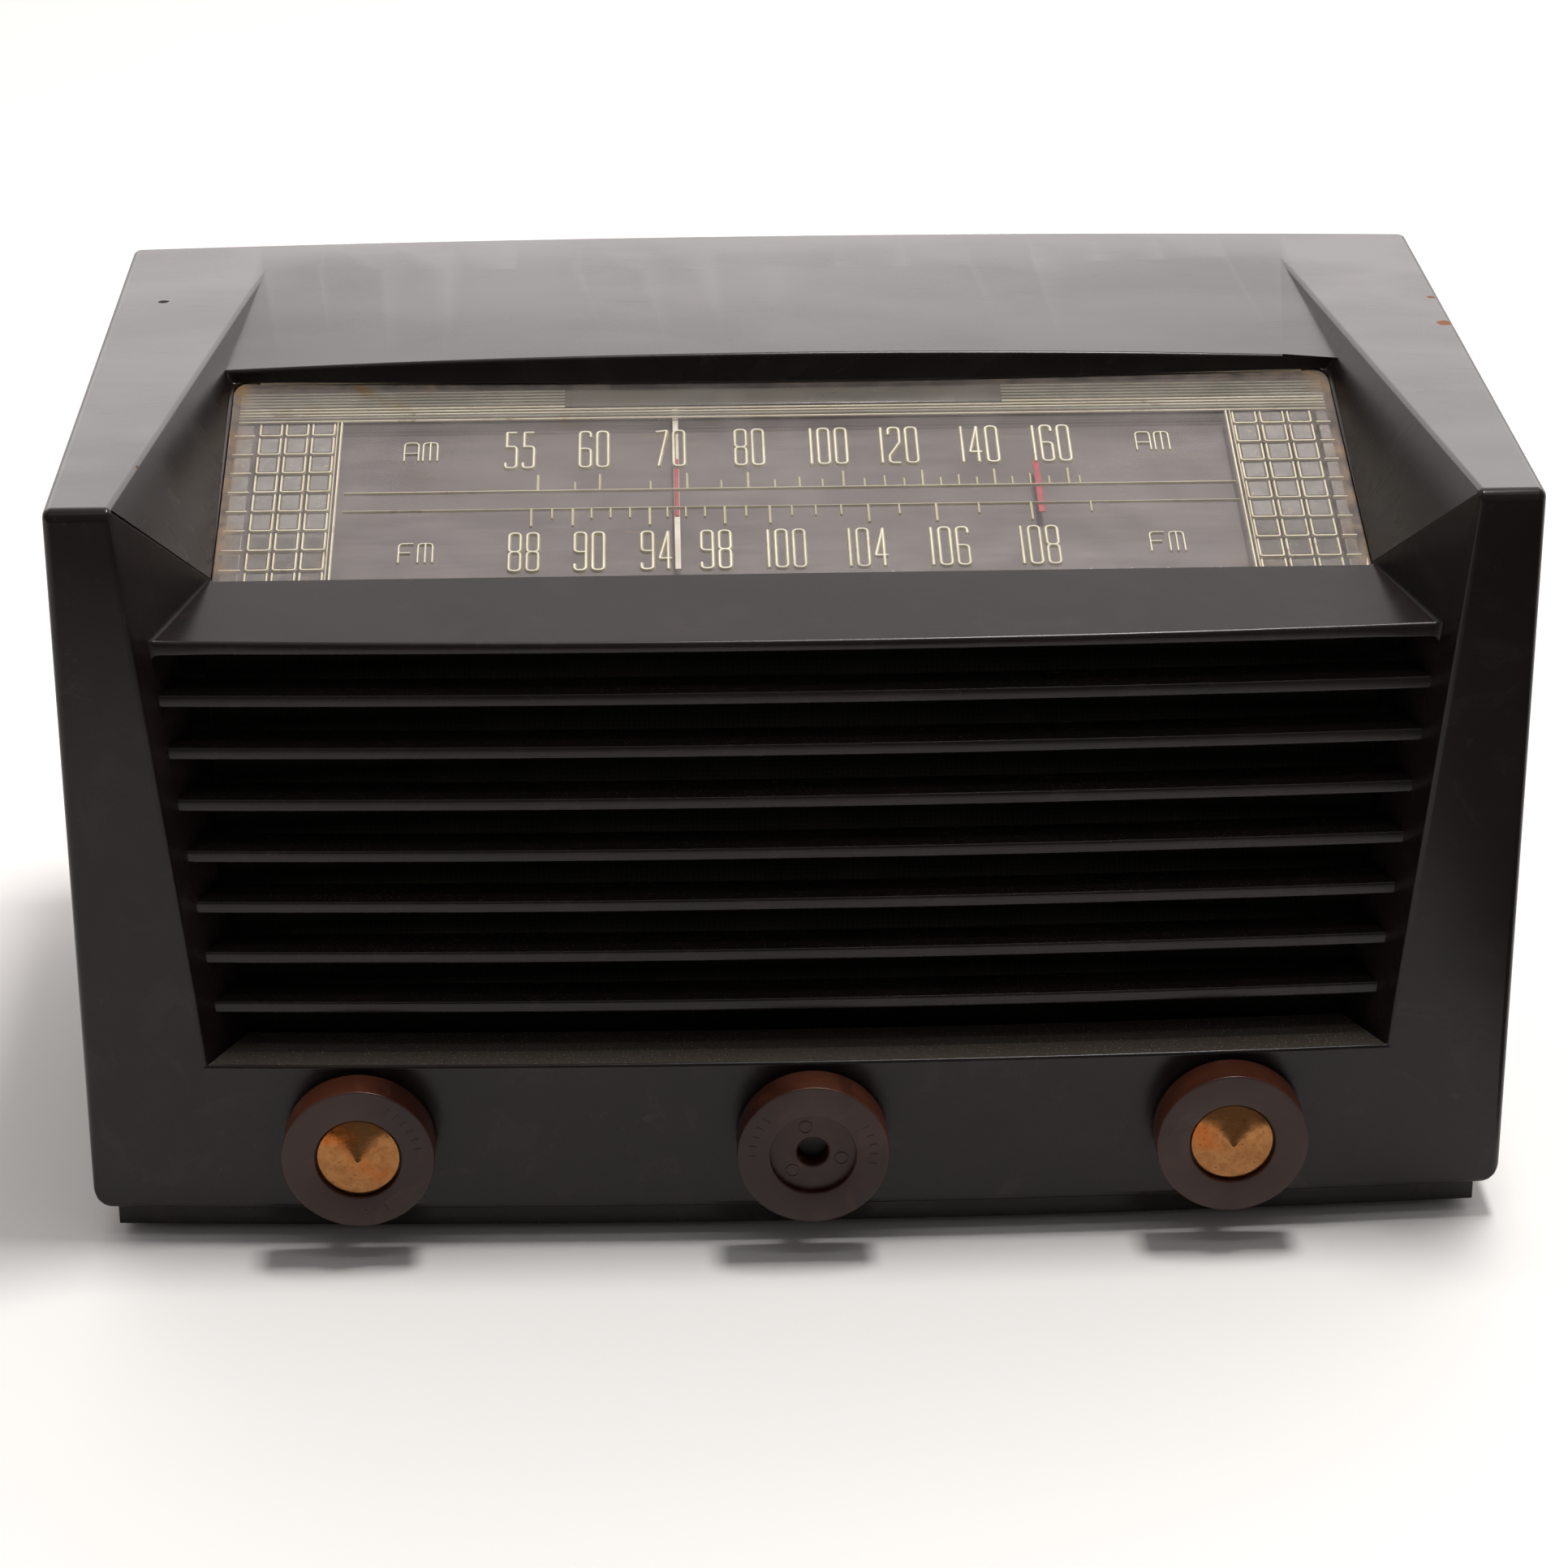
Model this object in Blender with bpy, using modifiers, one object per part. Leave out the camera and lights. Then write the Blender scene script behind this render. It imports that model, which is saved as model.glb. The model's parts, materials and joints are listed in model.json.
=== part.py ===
"""Tabletop radio: a moulded cabinet with a sloping dial, seven louvres and three knobs.

Metres, +Z up. Sizes are given in the cabinet's own frame: X to the right from the middle of the
front, Y back from the front corners, Z up from the lower edge of the front face. At the end every
object is parented to one empty, which moves that frame so that the whole radio stands on z = 0
with the middle of its box at x = y = 0.
"""

import math

import bmesh
import bpy
from mathutils import Matrix, Vector

# Cabinet
WIDTH = 0.305
HEIGHT = 0.1605
DEPTH = 0.1805
BOW = 0.0046            # the middle of the front stands this far before its corners
CROWN = 0.0015          # the middle of the top stands this far above its ends
WALL = 0.0032
EDGE_RADIUS = 0.002
STATIONS = 8            # steps across the width of a bowed surface

# Recess: the straight lines that bound it, at the cheeks (end) and in the middle
SILL_Z = 0.0352
PANEL_REAR_Y = 0.1535
BROW_Y, BROW_BOW = 0.1003, 0.0023
BROW_Z, BROW_RISE = 0.1561, 0.0033
DIAL_FOOT_Y, DIAL_FOOT_Z = 0.0280, 0.1347
DIAL_SLOPE = math.radians(14.45)
SHELF_SLOPE = math.radians(11.9)    # the shelf before the dial is a little flatter
NOSE_SETBACK = 0.0064   # louvre noses behind the bowed front
CHEEK_TOP = Vector((0.1389, 0.0, 0.1605))
CHEEK_FOOT = Vector((0.1255, 0.0, 0.0352))
CREASE_REAR = Vector((0.1200, 0.1535, 0.1605))
CREASE_FOOT = Vector((0.1222, 0.0280, 0.1347))

# Louvres
LOUVRES = 7
LOUVRE_TOP_Z = 0.1166
LOUVRE_PITCH = 0.0118
LOUVRE_THICK = 0.0028
SLAT_DEPTH = 0.009
LIP_BOTTOM_Z = 0.1268

# Plinth and feet
PLINTH_DROP = 0.006
PLINTH_INSET = 0.0047
FOOT_DROP = 0.008
FOOT_RADIUS = 0.0055
FOOT_X, FOOT_FRONT_Y, FOOT_REAR_Y = 0.118, 0.0115, 0.1685

# Dial
GLASS_X = 0.1203
GLASS_LENGTH = 0.0712
GLASS_TOP = -0.0002
GLASS_FLANGE_TOP = -0.0035
GLASS_BOTTOM = -0.0047
GLASS_UNDERSIDE = -0.0014    # of the thin pane inside its rim
NEEDLE_Z = (-0.0030, -0.0024)
DIAL_PLATE_Z = (-0.0060, -0.0050)
GAP = 0.0003            # clearance between pieces that touch

# Knobs and shafts
KNOB_X = {"volume": -0.0941, "tuning": 0.0025, "band": 0.0921}
KNOB_Z = 0.0179
KNOB_RADIUS = 0.0162
KNOB_BACK, KNOB_FACE = 0.0016, 0.0098
INSERT_RADIUS = 0.0089
INSERT_DEPTH = 0.0016
SHAFT_RADIUS = 0.0031
BORE_RADIUS = 0.0034
PANEL_HOLE_RADIUS = 0.0048

# Chassis
CHASSIS_X = 0.128
CHASSIS_FRONT_Y, CHASSIS_REAR_Y = 0.048, 0.168
CHASSIS_BOTTOM_Z, CHASSIS_TOP_Z = 0.0038, 0.038
SHEET = 0.0012

# Tuning drive
POINTER_TRAVEL = 0.118
POINTER_X = -0.0242
POINTER_LEFT_X = -0.0585
DRUM_X, DRUM_Z = 0.020, 0.084
DRUM_RADIUS = POINTER_TRAVEL / math.pi
DRUM_REST = (POINTER_X - POINTER_LEFT_X) / DRUM_RADIUS
CORD_RADIUS = 0.00045
CHORD_SAG = 0.0001      # how far a cord's straight pieces may cut inside its bend
CORD_Y, DRIVE_Y = 0.1012, 0.0977
DRIVE_RADIUS = 0.0033
PULLEY_X, PULLEY_Z, PULLEY_RADIUS = 0.1095, 0.1355, 0.006
RAIL_Y, RAIL_Z, RAIL_RADIUS = 0.0975, 0.1415, 0.001
GANG_FRONT_Y, GANG_REAR_Y = 0.1065, 0.1535
ROTOR_RADIUS = 0.020
GANG_PLATES = 5
GANG_PITCH = 0.0078

# Speaker
SPEAKER_X, SPEAKER_Z = -0.040, 0.076
BAFFLE_X = 0.123
BAFFLE_Z = (0.027, 0.1255)

# Back
COVER_Y = (0.1754, 0.1780)
INLET_X, INLET_Z = -0.090, 0.0200
TERMINALS_X = 0.080

MATERIALS = {
    "bakelite": ((0.024, 0.013, 0.009), 0.22, 0.0),
    "clear_plastic": ((0.62, 0.57, 0.42), 0.08, 0.0),
    "taupe_paint": ((0.17, 0.145, 0.135), 0.55, 0.0),
    "cream_paint": ((0.74, 0.69, 0.55), 0.5, 0.0),
    "brass": ((0.42, 0.24, 0.10), 0.38, 1.0),
    "steel": ((0.55, 0.55, 0.53), 0.35, 1.0),
    "plated_steel": ((0.45, 0.43, 0.38), 0.45, 1.0),
    "aluminium": ((0.72, 0.72, 0.72), 0.35, 1.0),
    "phenolic": ((0.16, 0.07, 0.03), 0.5, 0.0),
    "glass": ((0.75, 0.78, 0.78), 0.05, 0.0),
    "paper": ((0.05, 0.045, 0.04), 0.9, 0.0),
    "cloth": ((0.045, 0.038, 0.03), 0.95, 0.0),
    "fibreboard": ((0.19, 0.11, 0.06), 0.85, 0.0),
    "copper": ((0.55, 0.22, 0.10), 0.4, 1.0),
    "rubber": ((0.02, 0.02, 0.02), 0.8, 0.0),
    "cord": ((0.30, 0.25, 0.17), 0.9, 0.0),
}

TO_BACK = Matrix.Rotation(-math.pi / 2, 4, "X")    # a turned piece's axis runs back, along +Y
TO_FRONT = Matrix.Rotation(math.pi / 2, 4, "X")    # and out to the front, along -Y
UPRIGHT = Matrix.Identity(4)


def clear_scene():
    for obj in list(bpy.data.objects):
        bpy.data.objects.remove(obj, do_unlink=True)


def collection(name):
    made = bpy.data.collections.new(name)
    bpy.context.scene.collection.children.link(made)
    return made


def material(name):
    found = bpy.data.materials.get(name)
    if found:
        return found
    colour, roughness, metallic = MATERIALS[name]
    made = bpy.data.materials.new(name)
    made.use_nodes = True
    shader = made.node_tree.nodes["Principled BSDF"]
    shader.inputs["Base Color"].default_value = (*colour, 1.0)
    shader.inputs["Roughness"].default_value = roughness
    shader.inputs["Metallic"].default_value = metallic
    return made


def add_object(name, bm, slot=None, matrix=UPRIGHT):
    """A new object from a bmesh: a part when it has a material slot, a cutter when it has none."""
    mesh = bpy.data.meshes.new(name)
    bmesh.ops.recalc_face_normals(bm, faces=bm.faces)
    bm.to_mesh(mesh)
    bm.free()
    obj = bpy.data.objects.new(name, mesh)
    obj.matrix_world = matrix
    if slot:
        PARTS.objects.link(obj)
        mesh.materials.append(material(slot))
    else:
        CUTTERS.objects.link(obj)
        obj.hide_render = True
        obj.display_type = "WIRE"
    return obj


def cut(target, cutter, operation="DIFFERENCE", solver="EXACT"):
    modifier = target.modifiers.new(f"{operation.lower()}_{cutter.name}", "BOOLEAN")
    modifier.operation = operation
    modifier.object = cutter
    modifier.solver = solver


def join(target, other, solver="EXACT"):
    cut(target, other, "UNION", solver)


def add_boxes(bm, *boxes):
    """Adds one block for each ((x0, x1), (y0, y1), (z0, z1))."""
    for spans in boxes:
        size = [high - low for low, high in spans]
        middle = [(high + low) / 2 for low, high in spans]
        place = Matrix.Translation(middle) @ Matrix.Diagonal((*size, 1.0))
        bmesh.ops.create_cube(bm, size=1.0, matrix=place)


def box(name, x, y, z, slot=None, matrix=UPRIGHT):
    bm = bmesh.new()
    add_boxes(bm, (x, y, z))
    return add_object(name, bm, slot, matrix)


def boxes(name, *spans, slot=None):
    bm = bmesh.new()
    add_boxes(bm, *spans)
    return add_object(name, bm, slot)


def rods(name, radius, along, *ends, segments=14, slot=None):
    """One cylinder for each (start point, length), all along the axis `along`."""
    bm = bmesh.new()
    turn = Vector((0, 0, 1)).rotation_difference(Vector(along)).to_matrix().to_4x4()
    for start, length in ends:
        middle = Vector(start) + Vector(along) * (length / 2)
        bmesh.ops.create_cone(bm, cap_ends=True, segments=segments, radius1=radius, radius2=radius,
                              depth=length, matrix=Matrix.Translation(middle) @ turn)
    return add_object(name, bm, slot)


def turned(name, profile, centre, slot, matrix=TO_BACK, segments=24):
    """Spins a profile of (radius, distance along the axis) points. A profile that starts and ends
    on the axis stays open there; any other is a closed ring."""
    closed = profile[0][0] > 0
    area = sum(a[0] * b[1] - b[0] * a[1] for a, b in zip(profile, profile[1:] + profile[:1]))
    points = profile if area < 0 else profile[::-1]
    bm = bmesh.new()
    verts = [bm.verts.new((radius, 0, along)) for radius, along in points]
    for first, second in zip(verts, verts[1:]):
        bm.edges.new((first, second))
    if closed:
        bm.edges.new((verts[-1], verts[0]))
    obj = add_object(name, bm, slot, Matrix.Translation(centre) @ matrix)
    screw = obj.modifiers.new("turn", "SCREW")
    screw.steps = screw.render_steps = segments
    screw.use_merge_vertices = True
    screw.merge_threshold = 1e-6
    screw.use_smooth_shade = True
    return obj


def prism(name, outline, low, high, slot=None, matrix=UPRIGHT):
    """A flat outline of (x, y) points, made into a plate from z = low to z = high."""
    curve = bpy.data.curves.new(name, "CURVE")
    curve.dimensions = "2D"
    curve.fill_mode = "BOTH"
    curve.extrude = (high - low) / 2
    spline = curve.splines.new("POLY")
    spline.points.add(len(outline) - 1)
    for point, (x, y) in zip(spline.points, outline):
        point.co = (x, y, 0, 1)
    spline.use_cyclic_u = True
    drawn = bpy.data.objects.new(name + "_outline", curve)
    PARTS.objects.link(drawn)
    graph = bpy.context.evaluated_depsgraph_get()
    mesh = bpy.data.meshes.new_from_object(drawn.evaluated_get(graph))
    bm = bmesh.new()
    bm.from_mesh(mesh)
    bpy.data.objects.remove(drawn, do_unlink=True)
    bpy.data.meshes.remove(mesh)
    bmesh.ops.remove_doubles(bm, verts=bm.verts, dist=1e-6)
    bmesh.ops.translate(bm, verts=bm.verts, vec=(0, 0, (low + high) / 2))
    return add_object(name, bm, slot, matrix)


def loft(bm, rings):
    """Skins a row of rings with the same number of points each, and caps both ends."""
    rows = [[bm.verts.new(point) for point in ring] for ring in rings]
    for near, far in zip(rows, rows[1:]):
        for index in range(len(near)):
            following = (index + 1) % len(near)
            bm.faces.new((near[index], near[following], far[following], far[index]))
    bm.faces.new(rows[0])
    bm.faces.new(rows[-1])


def cord(name, points, slot):
    """A thin cord through the points, closed into a loop."""
    curve = bpy.data.curves.new(name, "CURVE")
    curve.dimensions = "3D"
    curve.bevel_depth = CORD_RADIUS
    curve.bevel_resolution = 1
    spline = curve.splines.new("POLY")
    spline.points.add(len(points) - 1)
    for point, place in zip(spline.points, points):
        point.co = (*place, 1)
    spline.use_cyclic_u = True
    curve.materials.append(material(slot))
    obj = bpy.data.objects.new(name, curve)
    PARTS.objects.link(obj)
    return obj


def front_y(x):
    return -BOW * (1 - (x / (WIDTH / 2)) ** 2)


def top_z(x):
    return HEIGHT + CROWN * (1 - (x / (WIDTH / 2)) ** 2)


def dial_z(y):
    """Height of the sloping dial panel's face."""
    return DIAL_FOOT_Z + (y - DIAL_FOOT_Y) * math.tan(DIAL_SLOPE)


def shelf_z(y):
    """Height of the shelf's face, before the dial's foot."""
    return DIAL_FOOT_Z + (y - DIAL_FOOT_Y) * math.tan(SHELF_SLOPE)


def dial_matrix():
    """Local X across the dial, Y up its slope from the lower edge, Z out of its face."""
    foot = Matrix.Translation((0, DIAL_FOOT_Y, DIAL_FOOT_Z))
    return foot @ Matrix.Rotation(DIAL_SLOPE, 4, "X")


def stations(half_width):
    return [half_width * (2 * step / STATIONS - 1) for step in range(STATIONS + 1)]


def bowed_block(name, half_width, front_gap, back, bottom, top, slot=None):
    """A block whose front follows the bow; `top` is a height for each x."""
    bm = bmesh.new()
    loft(bm, [[(x, front_y(x) + front_gap, bottom), (x, back, bottom),
               (x, back, top(x)), (x, front_y(x) + front_gap, top(x))]
              for x in stations(half_width)])
    return add_object(name, bm, slot)


def recess_profile(side, wall, lower):
    """Outline, in (y, z), of what is taken out of the cabinet's front, `side` from 0 in the middle
    to 1 at a cheek. The upper part lies over the dial and the lower one before and below it, and
    they meet at the dial's foot. With a wall, the outline grows by it, to leave the wall when it
    shapes the hollow behind."""
    middle = 1 - side ** 2
    face = front_y(side * CHEEK_FOOT.x)
    drop = wall / math.cos(DIAL_SLOPE)
    above, before = HEIGHT + 0.03, face - 0.03
    foot_y = DIAL_FOOT_Y
    if lower:
        nose = face + NOSE_SETBACK + (SLAT_DEPTH if wall else 0)
        drop += 0.00005    # a hair below the upper part, so that no two faces coincide
        return [
            (foot_y + 0.031, above),
            (foot_y + 0.001, dial_z(foot_y + 0.001) - drop),
            (nose, shelf_z(nose) - drop),
            (nose, SILL_Z - wall),
            (before, SILL_Z - wall),
            (before, above),
        ]
    brow_y = BROW_Y - BROW_BOW * middle
    brow_z = BROW_Z + BROW_RISE * middle
    rear_z = HEIGHT + CROWN * middle
    rise = (rear_z - brow_z) / (PANEL_REAR_Y - brow_y)
    beyond = 0.02
    return [
        (PANEL_REAR_Y + beyond, rear_z + beyond * rise - wall),
        (brow_y + wall, brow_z - wall),
        (brow_y + wall, dial_z(brow_y + wall) - drop),
        (foot_y, dial_z(foot_y) - drop),
        (before, dial_z(foot_y) - drop + 0.01),
        (before, above),
        (PANEL_REAR_Y + beyond, above),
    ]


def flank(points, wall):
    """The plane through three points of the right cheek's flank, as a function that gives x."""
    first, second, third = points
    normal = (second - first).cross(third - first).normalized()
    if normal.x < 0:
        normal.negate()
    level = normal.dot(first) + wall

    def x_at(y, z):
        return (level - normal.y * y - normal.z * z) / normal.x

    return x_at


def upper_flank(wall=0.0):
    return flank((CHEEK_TOP, CREASE_REAR, CREASE_FOOT), wall)


def lower_flank(wall=0.0):
    return flank((CHEEK_TOP, CHEEK_FOOT, CREASE_FOOT), wall)


def recess(name, lower, wall=0.0):
    """The recess between a pair of mirrored flanks."""
    x_at = lower_flank(wall) if lower else upper_flank(wall)
    rings = []
    for step in range(STATIONS + 1):
        side = 2 * step / STATIONS - 1
        outline = recess_profile(abs(side), wall, lower)
        rings.append([(side * x_at(y, z), y, z) for y, z in outline])
    bm = bmesh.new()
    loft(bm, rings)
    bmesh.ops.triangulate(bm, faces=[face for face in bm.faces if len(face.verts) == 4])
    return add_object(name, bm)


def louvre_z(index):
    return LOUVRE_TOP_Z - index * LOUVRE_PITCH


def grille_slots():
    """The gaps above, between and below the louvres, each ending just inside the lower flanks."""
    half = LOUVRE_THICK / 2
    edges = [LIP_BOTTOM_Z]
    for index in range(LOUVRES):
        edges += [louvre_z(index) + half, louvre_z(index) - half]
    edges.append(SILL_Z - 0.0005)
    front, rear = -0.02, 0.0225
    x_at = lower_flank(-0.0002)
    bm = bmesh.new()
    for high, low in zip(edges[::2], edges[1::2]):
        loft(bm, [[(side * x_at(y, z), y, z)
                   for y, z in ((front, low), (rear, low), (rear, high), (front, high))]
                  for side in (-1, 1)])
    return add_object("grille_slots", bm)


def hollow():
    """The space inside the cabinet, open at the back."""
    inside = bowed_block("hollow", WIDTH / 2 - WALL, WALL, DEPTH + 0.01, WALL,
                         lambda x: top_z(x) - WALL)
    cut(inside, recess("upper_wall", False, WALL))
    cut(inside, recess("lower_wall", True, WALL))
    return inside


def foot_places():
    return [(x, y) for x in (-FOOT_X, FOOT_X) for y in (FOOT_FRONT_Y, FOOT_REAR_Y)]


def cabinet():
    shell = bowed_block("cabinet_shell", WIDTH / 2, 0.0, DEPTH, 0.0, top_z, "bakelite")
    bevel = shell.modifiers.new("edges", "BEVEL")
    bevel.width = EDGE_RADIUS
    bevel.segments = 2
    bevel.limit_method = "ANGLE"
    bevel.angle_limit = math.radians(40)
    bevel.use_clamp_overlap = False
    cut(shell, recess("upper_recess", False))
    cut(shell, recess("lower_recess", True))
    cut(shell, hollow())
    for cutter in shell_openings():    # EXACT loses these, which meet the flanks at thin angles
        cut(shell, cutter, solver="MANIFOLD")
    posts = [((x, 0.15, z), 0.025) for x in (-0.1455, 0.1455) for z in (0.0095, 0.1505)]
    for added in (plinth(), rods("cover_posts", 0.0045, (0, 1, 0), *posts, segments=12)):
        join(shell, added, solver="MANIFOLD")
    return shell


def shell_openings():
    window = box("dial_window", (-GLASS_X - GAP, GLASS_X + GAP), (-0.0008, GLASS_LENGTH),
                 (-0.01, 0.002), matrix=dial_matrix())
    holes = rods("shaft_holes", PANEL_HOLE_RADIUS, (0, 1, 0),
                 *[((x, -0.02, KNOB_Z), 0.03) for x in KNOB_X.values()])
    vents = boxes("floor_vents", *[((x - 0.012, x + 0.012), (y - 0.0025, y + 0.0025), (-0.01, 0.01))
                                   for x in (-0.09, -0.03, 0.03, 0.09) for y in (0.07, 0.14)])
    return grille_slots(), window, holes, vents


def plinth():
    inset = PLINTH_INSET
    ring = bowed_block("plinth_ring", WIDTH / 2 - inset, inset, DEPTH - inset, -PLINTH_DROP,
                       lambda x: 0.001)
    width = 0.004
    cut(ring, bowed_block("plinth_inside", WIDTH / 2 - inset - width, inset + width,
                          DEPTH - inset - width, -0.01, lambda x: 0.01))
    join(ring, rods("foot_bosses", 0.0068, (0, 0, 1),
                    *[((x, y, -PLINTH_DROP), PLINTH_DROP + 0.001) for x, y in foot_places()],
                    segments=16))
    return ring


def feet():
    names = ("foot_left_front", "foot_left_rear", "foot_right_front", "foot_right_rear")
    for name, (x, y) in zip(names, foot_places()):
        height = FOOT_DROP - PLINTH_DROP - GAP
        profile = [(0, 0), (FOOT_RADIUS - 0.0005, 0), (FOOT_RADIUS, 0.0005), (FOOT_RADIUS, height),
                   (0, height)]
        turned(name, profile, (x, y, -FOOT_DROP), "rubber", UPRIGHT, 16)


def dial_glass():
    pane = box("dial_glass", (-GLASS_X, GLASS_X), (-0.0005, GLASS_LENGTH - GAP),
               (GLASS_FLANGE_TOP - 0.0005, GLASS_TOP), "clear_plastic", dial_matrix())
    flange = box("dial_glass_flange", (-GLASS_X - 0.0025, GLASS_X + 0.0025),
                 (-0.003, GLASS_LENGTH + 0.002), (GLASS_BOTTOM, GLASS_FLANGE_TOP),
                 matrix=dial_matrix())
    join(pane, flange)
    rim = 0.002
    cut(pane, box("glass_underside", (rim - GLASS_X, GLASS_X - rim), (rim, GLASS_LENGTH - rim),
                  (-0.01, GLASS_UNDERSIDE), matrix=dial_matrix()))


def dial_bracket():
    """The painted plate behind the dial, with its legs, pulley tabs and pulley pins."""
    leg_x, leg_front, leg_rear = 0.1174, 0.062, 0.1055
    reach = leg_x + SHEET / 2
    plate = box("dial_backplate", (-reach, reach), (0.003, 0.0645), DIAL_PLATE_Z, "taupe_paint",
                dial_matrix())
    foot = CHASSIS_TOP_Z + GAP
    under_plate = 0.0057
    outline = [(leg_front, foot), (leg_rear, foot), (leg_rear, 0.1425),
               (0.0890, dial_z(0.0890) - under_plate), (leg_front, dial_z(leg_front) - under_plate)]
    across = Matrix.Rotation(math.pi / 2, 4, "Z") @ Matrix.Rotation(math.pi / 2, 4, "X")
    for side, low in (("left", -leg_x - SHEET), ("right", leg_x)):
        join(plate, prism(f"dial_leg_{side}", outline, low, low + SHEET, matrix=across))
        sign = -1 if side == "left" else 1
        inner, outer = sorted((sign * 0.1040, sign * (leg_x + 0.0004)))
        join(plate, box(f"pulley_tab_{side}", (inner, outer), (0.0948, 0.0960), (0.1300, 0.1400)))
        lug = sorted((sign * (leg_x - 0.0004), sign * (leg_x + 0.010)))
        join(plate, box(f"leg_lug_{side}", lug, (0.0700, 0.0900), (foot, foot + SHEET)))
        join(plate, rods(f"pulley_pin_{side}", 0.0014, (0, 1, 0),
                         ((sign * PULLEY_X, 0.0955, PULLEY_Z), 0.0085), segments=12))


def dial_drive():
    rail_reach = 0.1168
    rods("pointer_rail", RAIL_RADIUS, (1, 0, 0), ((-rail_reach, RAIL_Y, RAIL_Z), 2 * rail_reach),
         segments=12, slot="steel")
    pointer()
    for side, sign in (("left", -1), ("right", 1)):
        rim, groove = 0.0072, PULLEY_RADIUS - CORD_RADIUS - GAP
        profile = [(0.0018, -0.0022), (rim, -0.0022), (rim, -0.0014), (groove, -0.0006),
                   (groove, 0.0006), (rim, 0.0014), (rim, 0.0022), (0.0018, 0.0022)]
        turned(f"cord_pulley_{side}", profile, (sign * PULLEY_X, CORD_Y, PULLEY_Z), "phenolic",
               segments=16)
    drum = (DRUM_X, DRUM_Z, DRUM_RADIUS)
    pulleys = [(PULLEY_X, PULLEY_Z, PULLEY_RADIUS), (-PULLEY_X, PULLEY_Z, PULLEY_RADIUS)]
    cord("pointer_cord", belt([drum] + pulleys, CORD_Y), "cord")
    cord("drive_cord", belt([drum, (KNOB_X["tuning"], KNOB_Z, DRIVE_RADIUS)], DRIVE_Y), "cord")


def belt(circles, y):
    """Points of a taut loop round circles (x, z, radius) listed counterclockwise."""
    normals = []
    for index, (x, z, radius) in enumerate(circles):
        next_x, next_z, next_radius = circles[(index + 1) % len(circles)]
        distance = math.hypot(next_x - x, next_z - z)
        bearing = math.atan2(next_z - z, next_x - x)
        normals.append(bearing - math.acos((radius - next_radius) / distance))
    points = []
    for index, (x, z, radius) in enumerate(circles):
        start = normals[index - 1]
        sweep = (normals[index] - start) % (2 * math.pi)
        steps = math.ceil(sweep / (2 * math.acos(1 - CHORD_SAG / radius)))
        for step in range(steps + 1):
            angle = start + sweep * step / steps
            points.append((x + radius * math.cos(angle), y, z + radius * math.sin(angle)))
    return points


def pointer():
    """A needle that lies over the dial's plate, and a stem down to a carriage on the rail."""
    slit, skirt = RAIL_RADIUS + 0.0004, 0.0021
    top, bottom = RAIL_Z + 0.0048, RAIL_Z - 0.0018
    outline = [(RAIL_Y - skirt, bottom), (RAIL_Y - slit, bottom), (RAIL_Y - slit, RAIL_Z + slit),
               (RAIL_Y + slit, RAIL_Z + slit), (RAIL_Y + slit, bottom), (RAIL_Y + skirt, bottom),
               (RAIL_Y + skirt, top), (RAIL_Y - skirt, top)]
    across = Matrix.Rotation(math.pi / 2, 4, "Z") @ Matrix.Rotation(math.pi / 2, 4, "X")
    place = Matrix.Translation((POINTER_X, 0, 0))
    carriage = prism("dial_pointer", outline, -0.004, 0.004, "cream_paint", place @ across)
    stem = box("pointer_stem", (-0.0020, 0.0020), (0.0655, 0.0682), (-0.0090, NEEDLE_Z[1]),
               matrix=place @ dial_matrix())
    needle = box("pointer_needle", (-0.0006, 0.0006), (0.0045, 0.0660), NEEDLE_Z,
                 matrix=place @ dial_matrix())
    join(carriage, stem)
    join(carriage, needle)


def dial_drum():
    """Two grooves, one for the cord from the tuning shaft and one for the pointer's cord."""
    base, rim = DRUM_RADIUS - CORD_RADIUS - GAP, DRUM_RADIUS + 0.0012
    profile = [(BORE_RADIUS, 0.0930), (0.0075, 0.0930), (0.0075, 0.0985), (0.0335, 0.0985),
               (0.0335, 0.0955), (rim, 0.0955), (rim, DRIVE_Y - 0.0009), (base, DRIVE_Y - 0.0006),
               (base, DRIVE_Y + 0.0006), (rim, DRIVE_Y + 0.0009), (rim, CORD_Y - 0.0009),
               (base, CORD_Y - 0.0006), (base, CORD_Y + 0.0006), (rim, CORD_Y + 0.0009),
               (rim, 0.1035), (0.0335, 0.1035), (0.0335, 0.1000), (0.0075, 0.1000),
               (0.0075, 0.1045), (BORE_RADIUS, 0.1045)]
    turned("dial_drum", profile, (DRUM_X, 0, DRUM_Z), "phenolic", segments=30)
    spring()


def spring():
    """The tension spring on the drum's front face, which takes up slack in the cord."""
    turns, steps, coil, length = 6, 6, 0.0016, 0.014
    curve = bpy.data.curves.new("drum_spring", "CURVE")
    curve.dimensions = "3D"
    curve.bevel_depth = 0.00035
    curve.bevel_resolution = 1
    curve.use_fill_caps = True
    line = curve.splines.new("POLY")
    count = turns * steps + 1
    line.points.add(count - 1)
    for index, point in enumerate(line.points):
        angle = 2 * math.pi * index / steps
        point.co = (-0.028 + length * index / (count - 1), coil * math.cos(angle),
                    coil * math.sin(angle), 1)
    curve.materials.append(material("steel"))
    obj = bpy.data.objects.new("drum_spring", curve)
    obj.location = (DRUM_X, 0.0962, DRUM_Z)
    PARTS.objects.link(obj)


def half_disc(radius, inner, steps=9):
    """Outline of a half ring, on the -X side."""
    start, sweep = math.pi / 2, math.pi
    arcs = []
    for size, order in ((radius, 1), (inner, -1)):
        ring = [(size * math.cos(start + sweep * step / steps),
                 size * math.sin(start + sweep * step / steps)) for step in range(steps + 1)]
        arcs += ring[::order]
    return arcs


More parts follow.
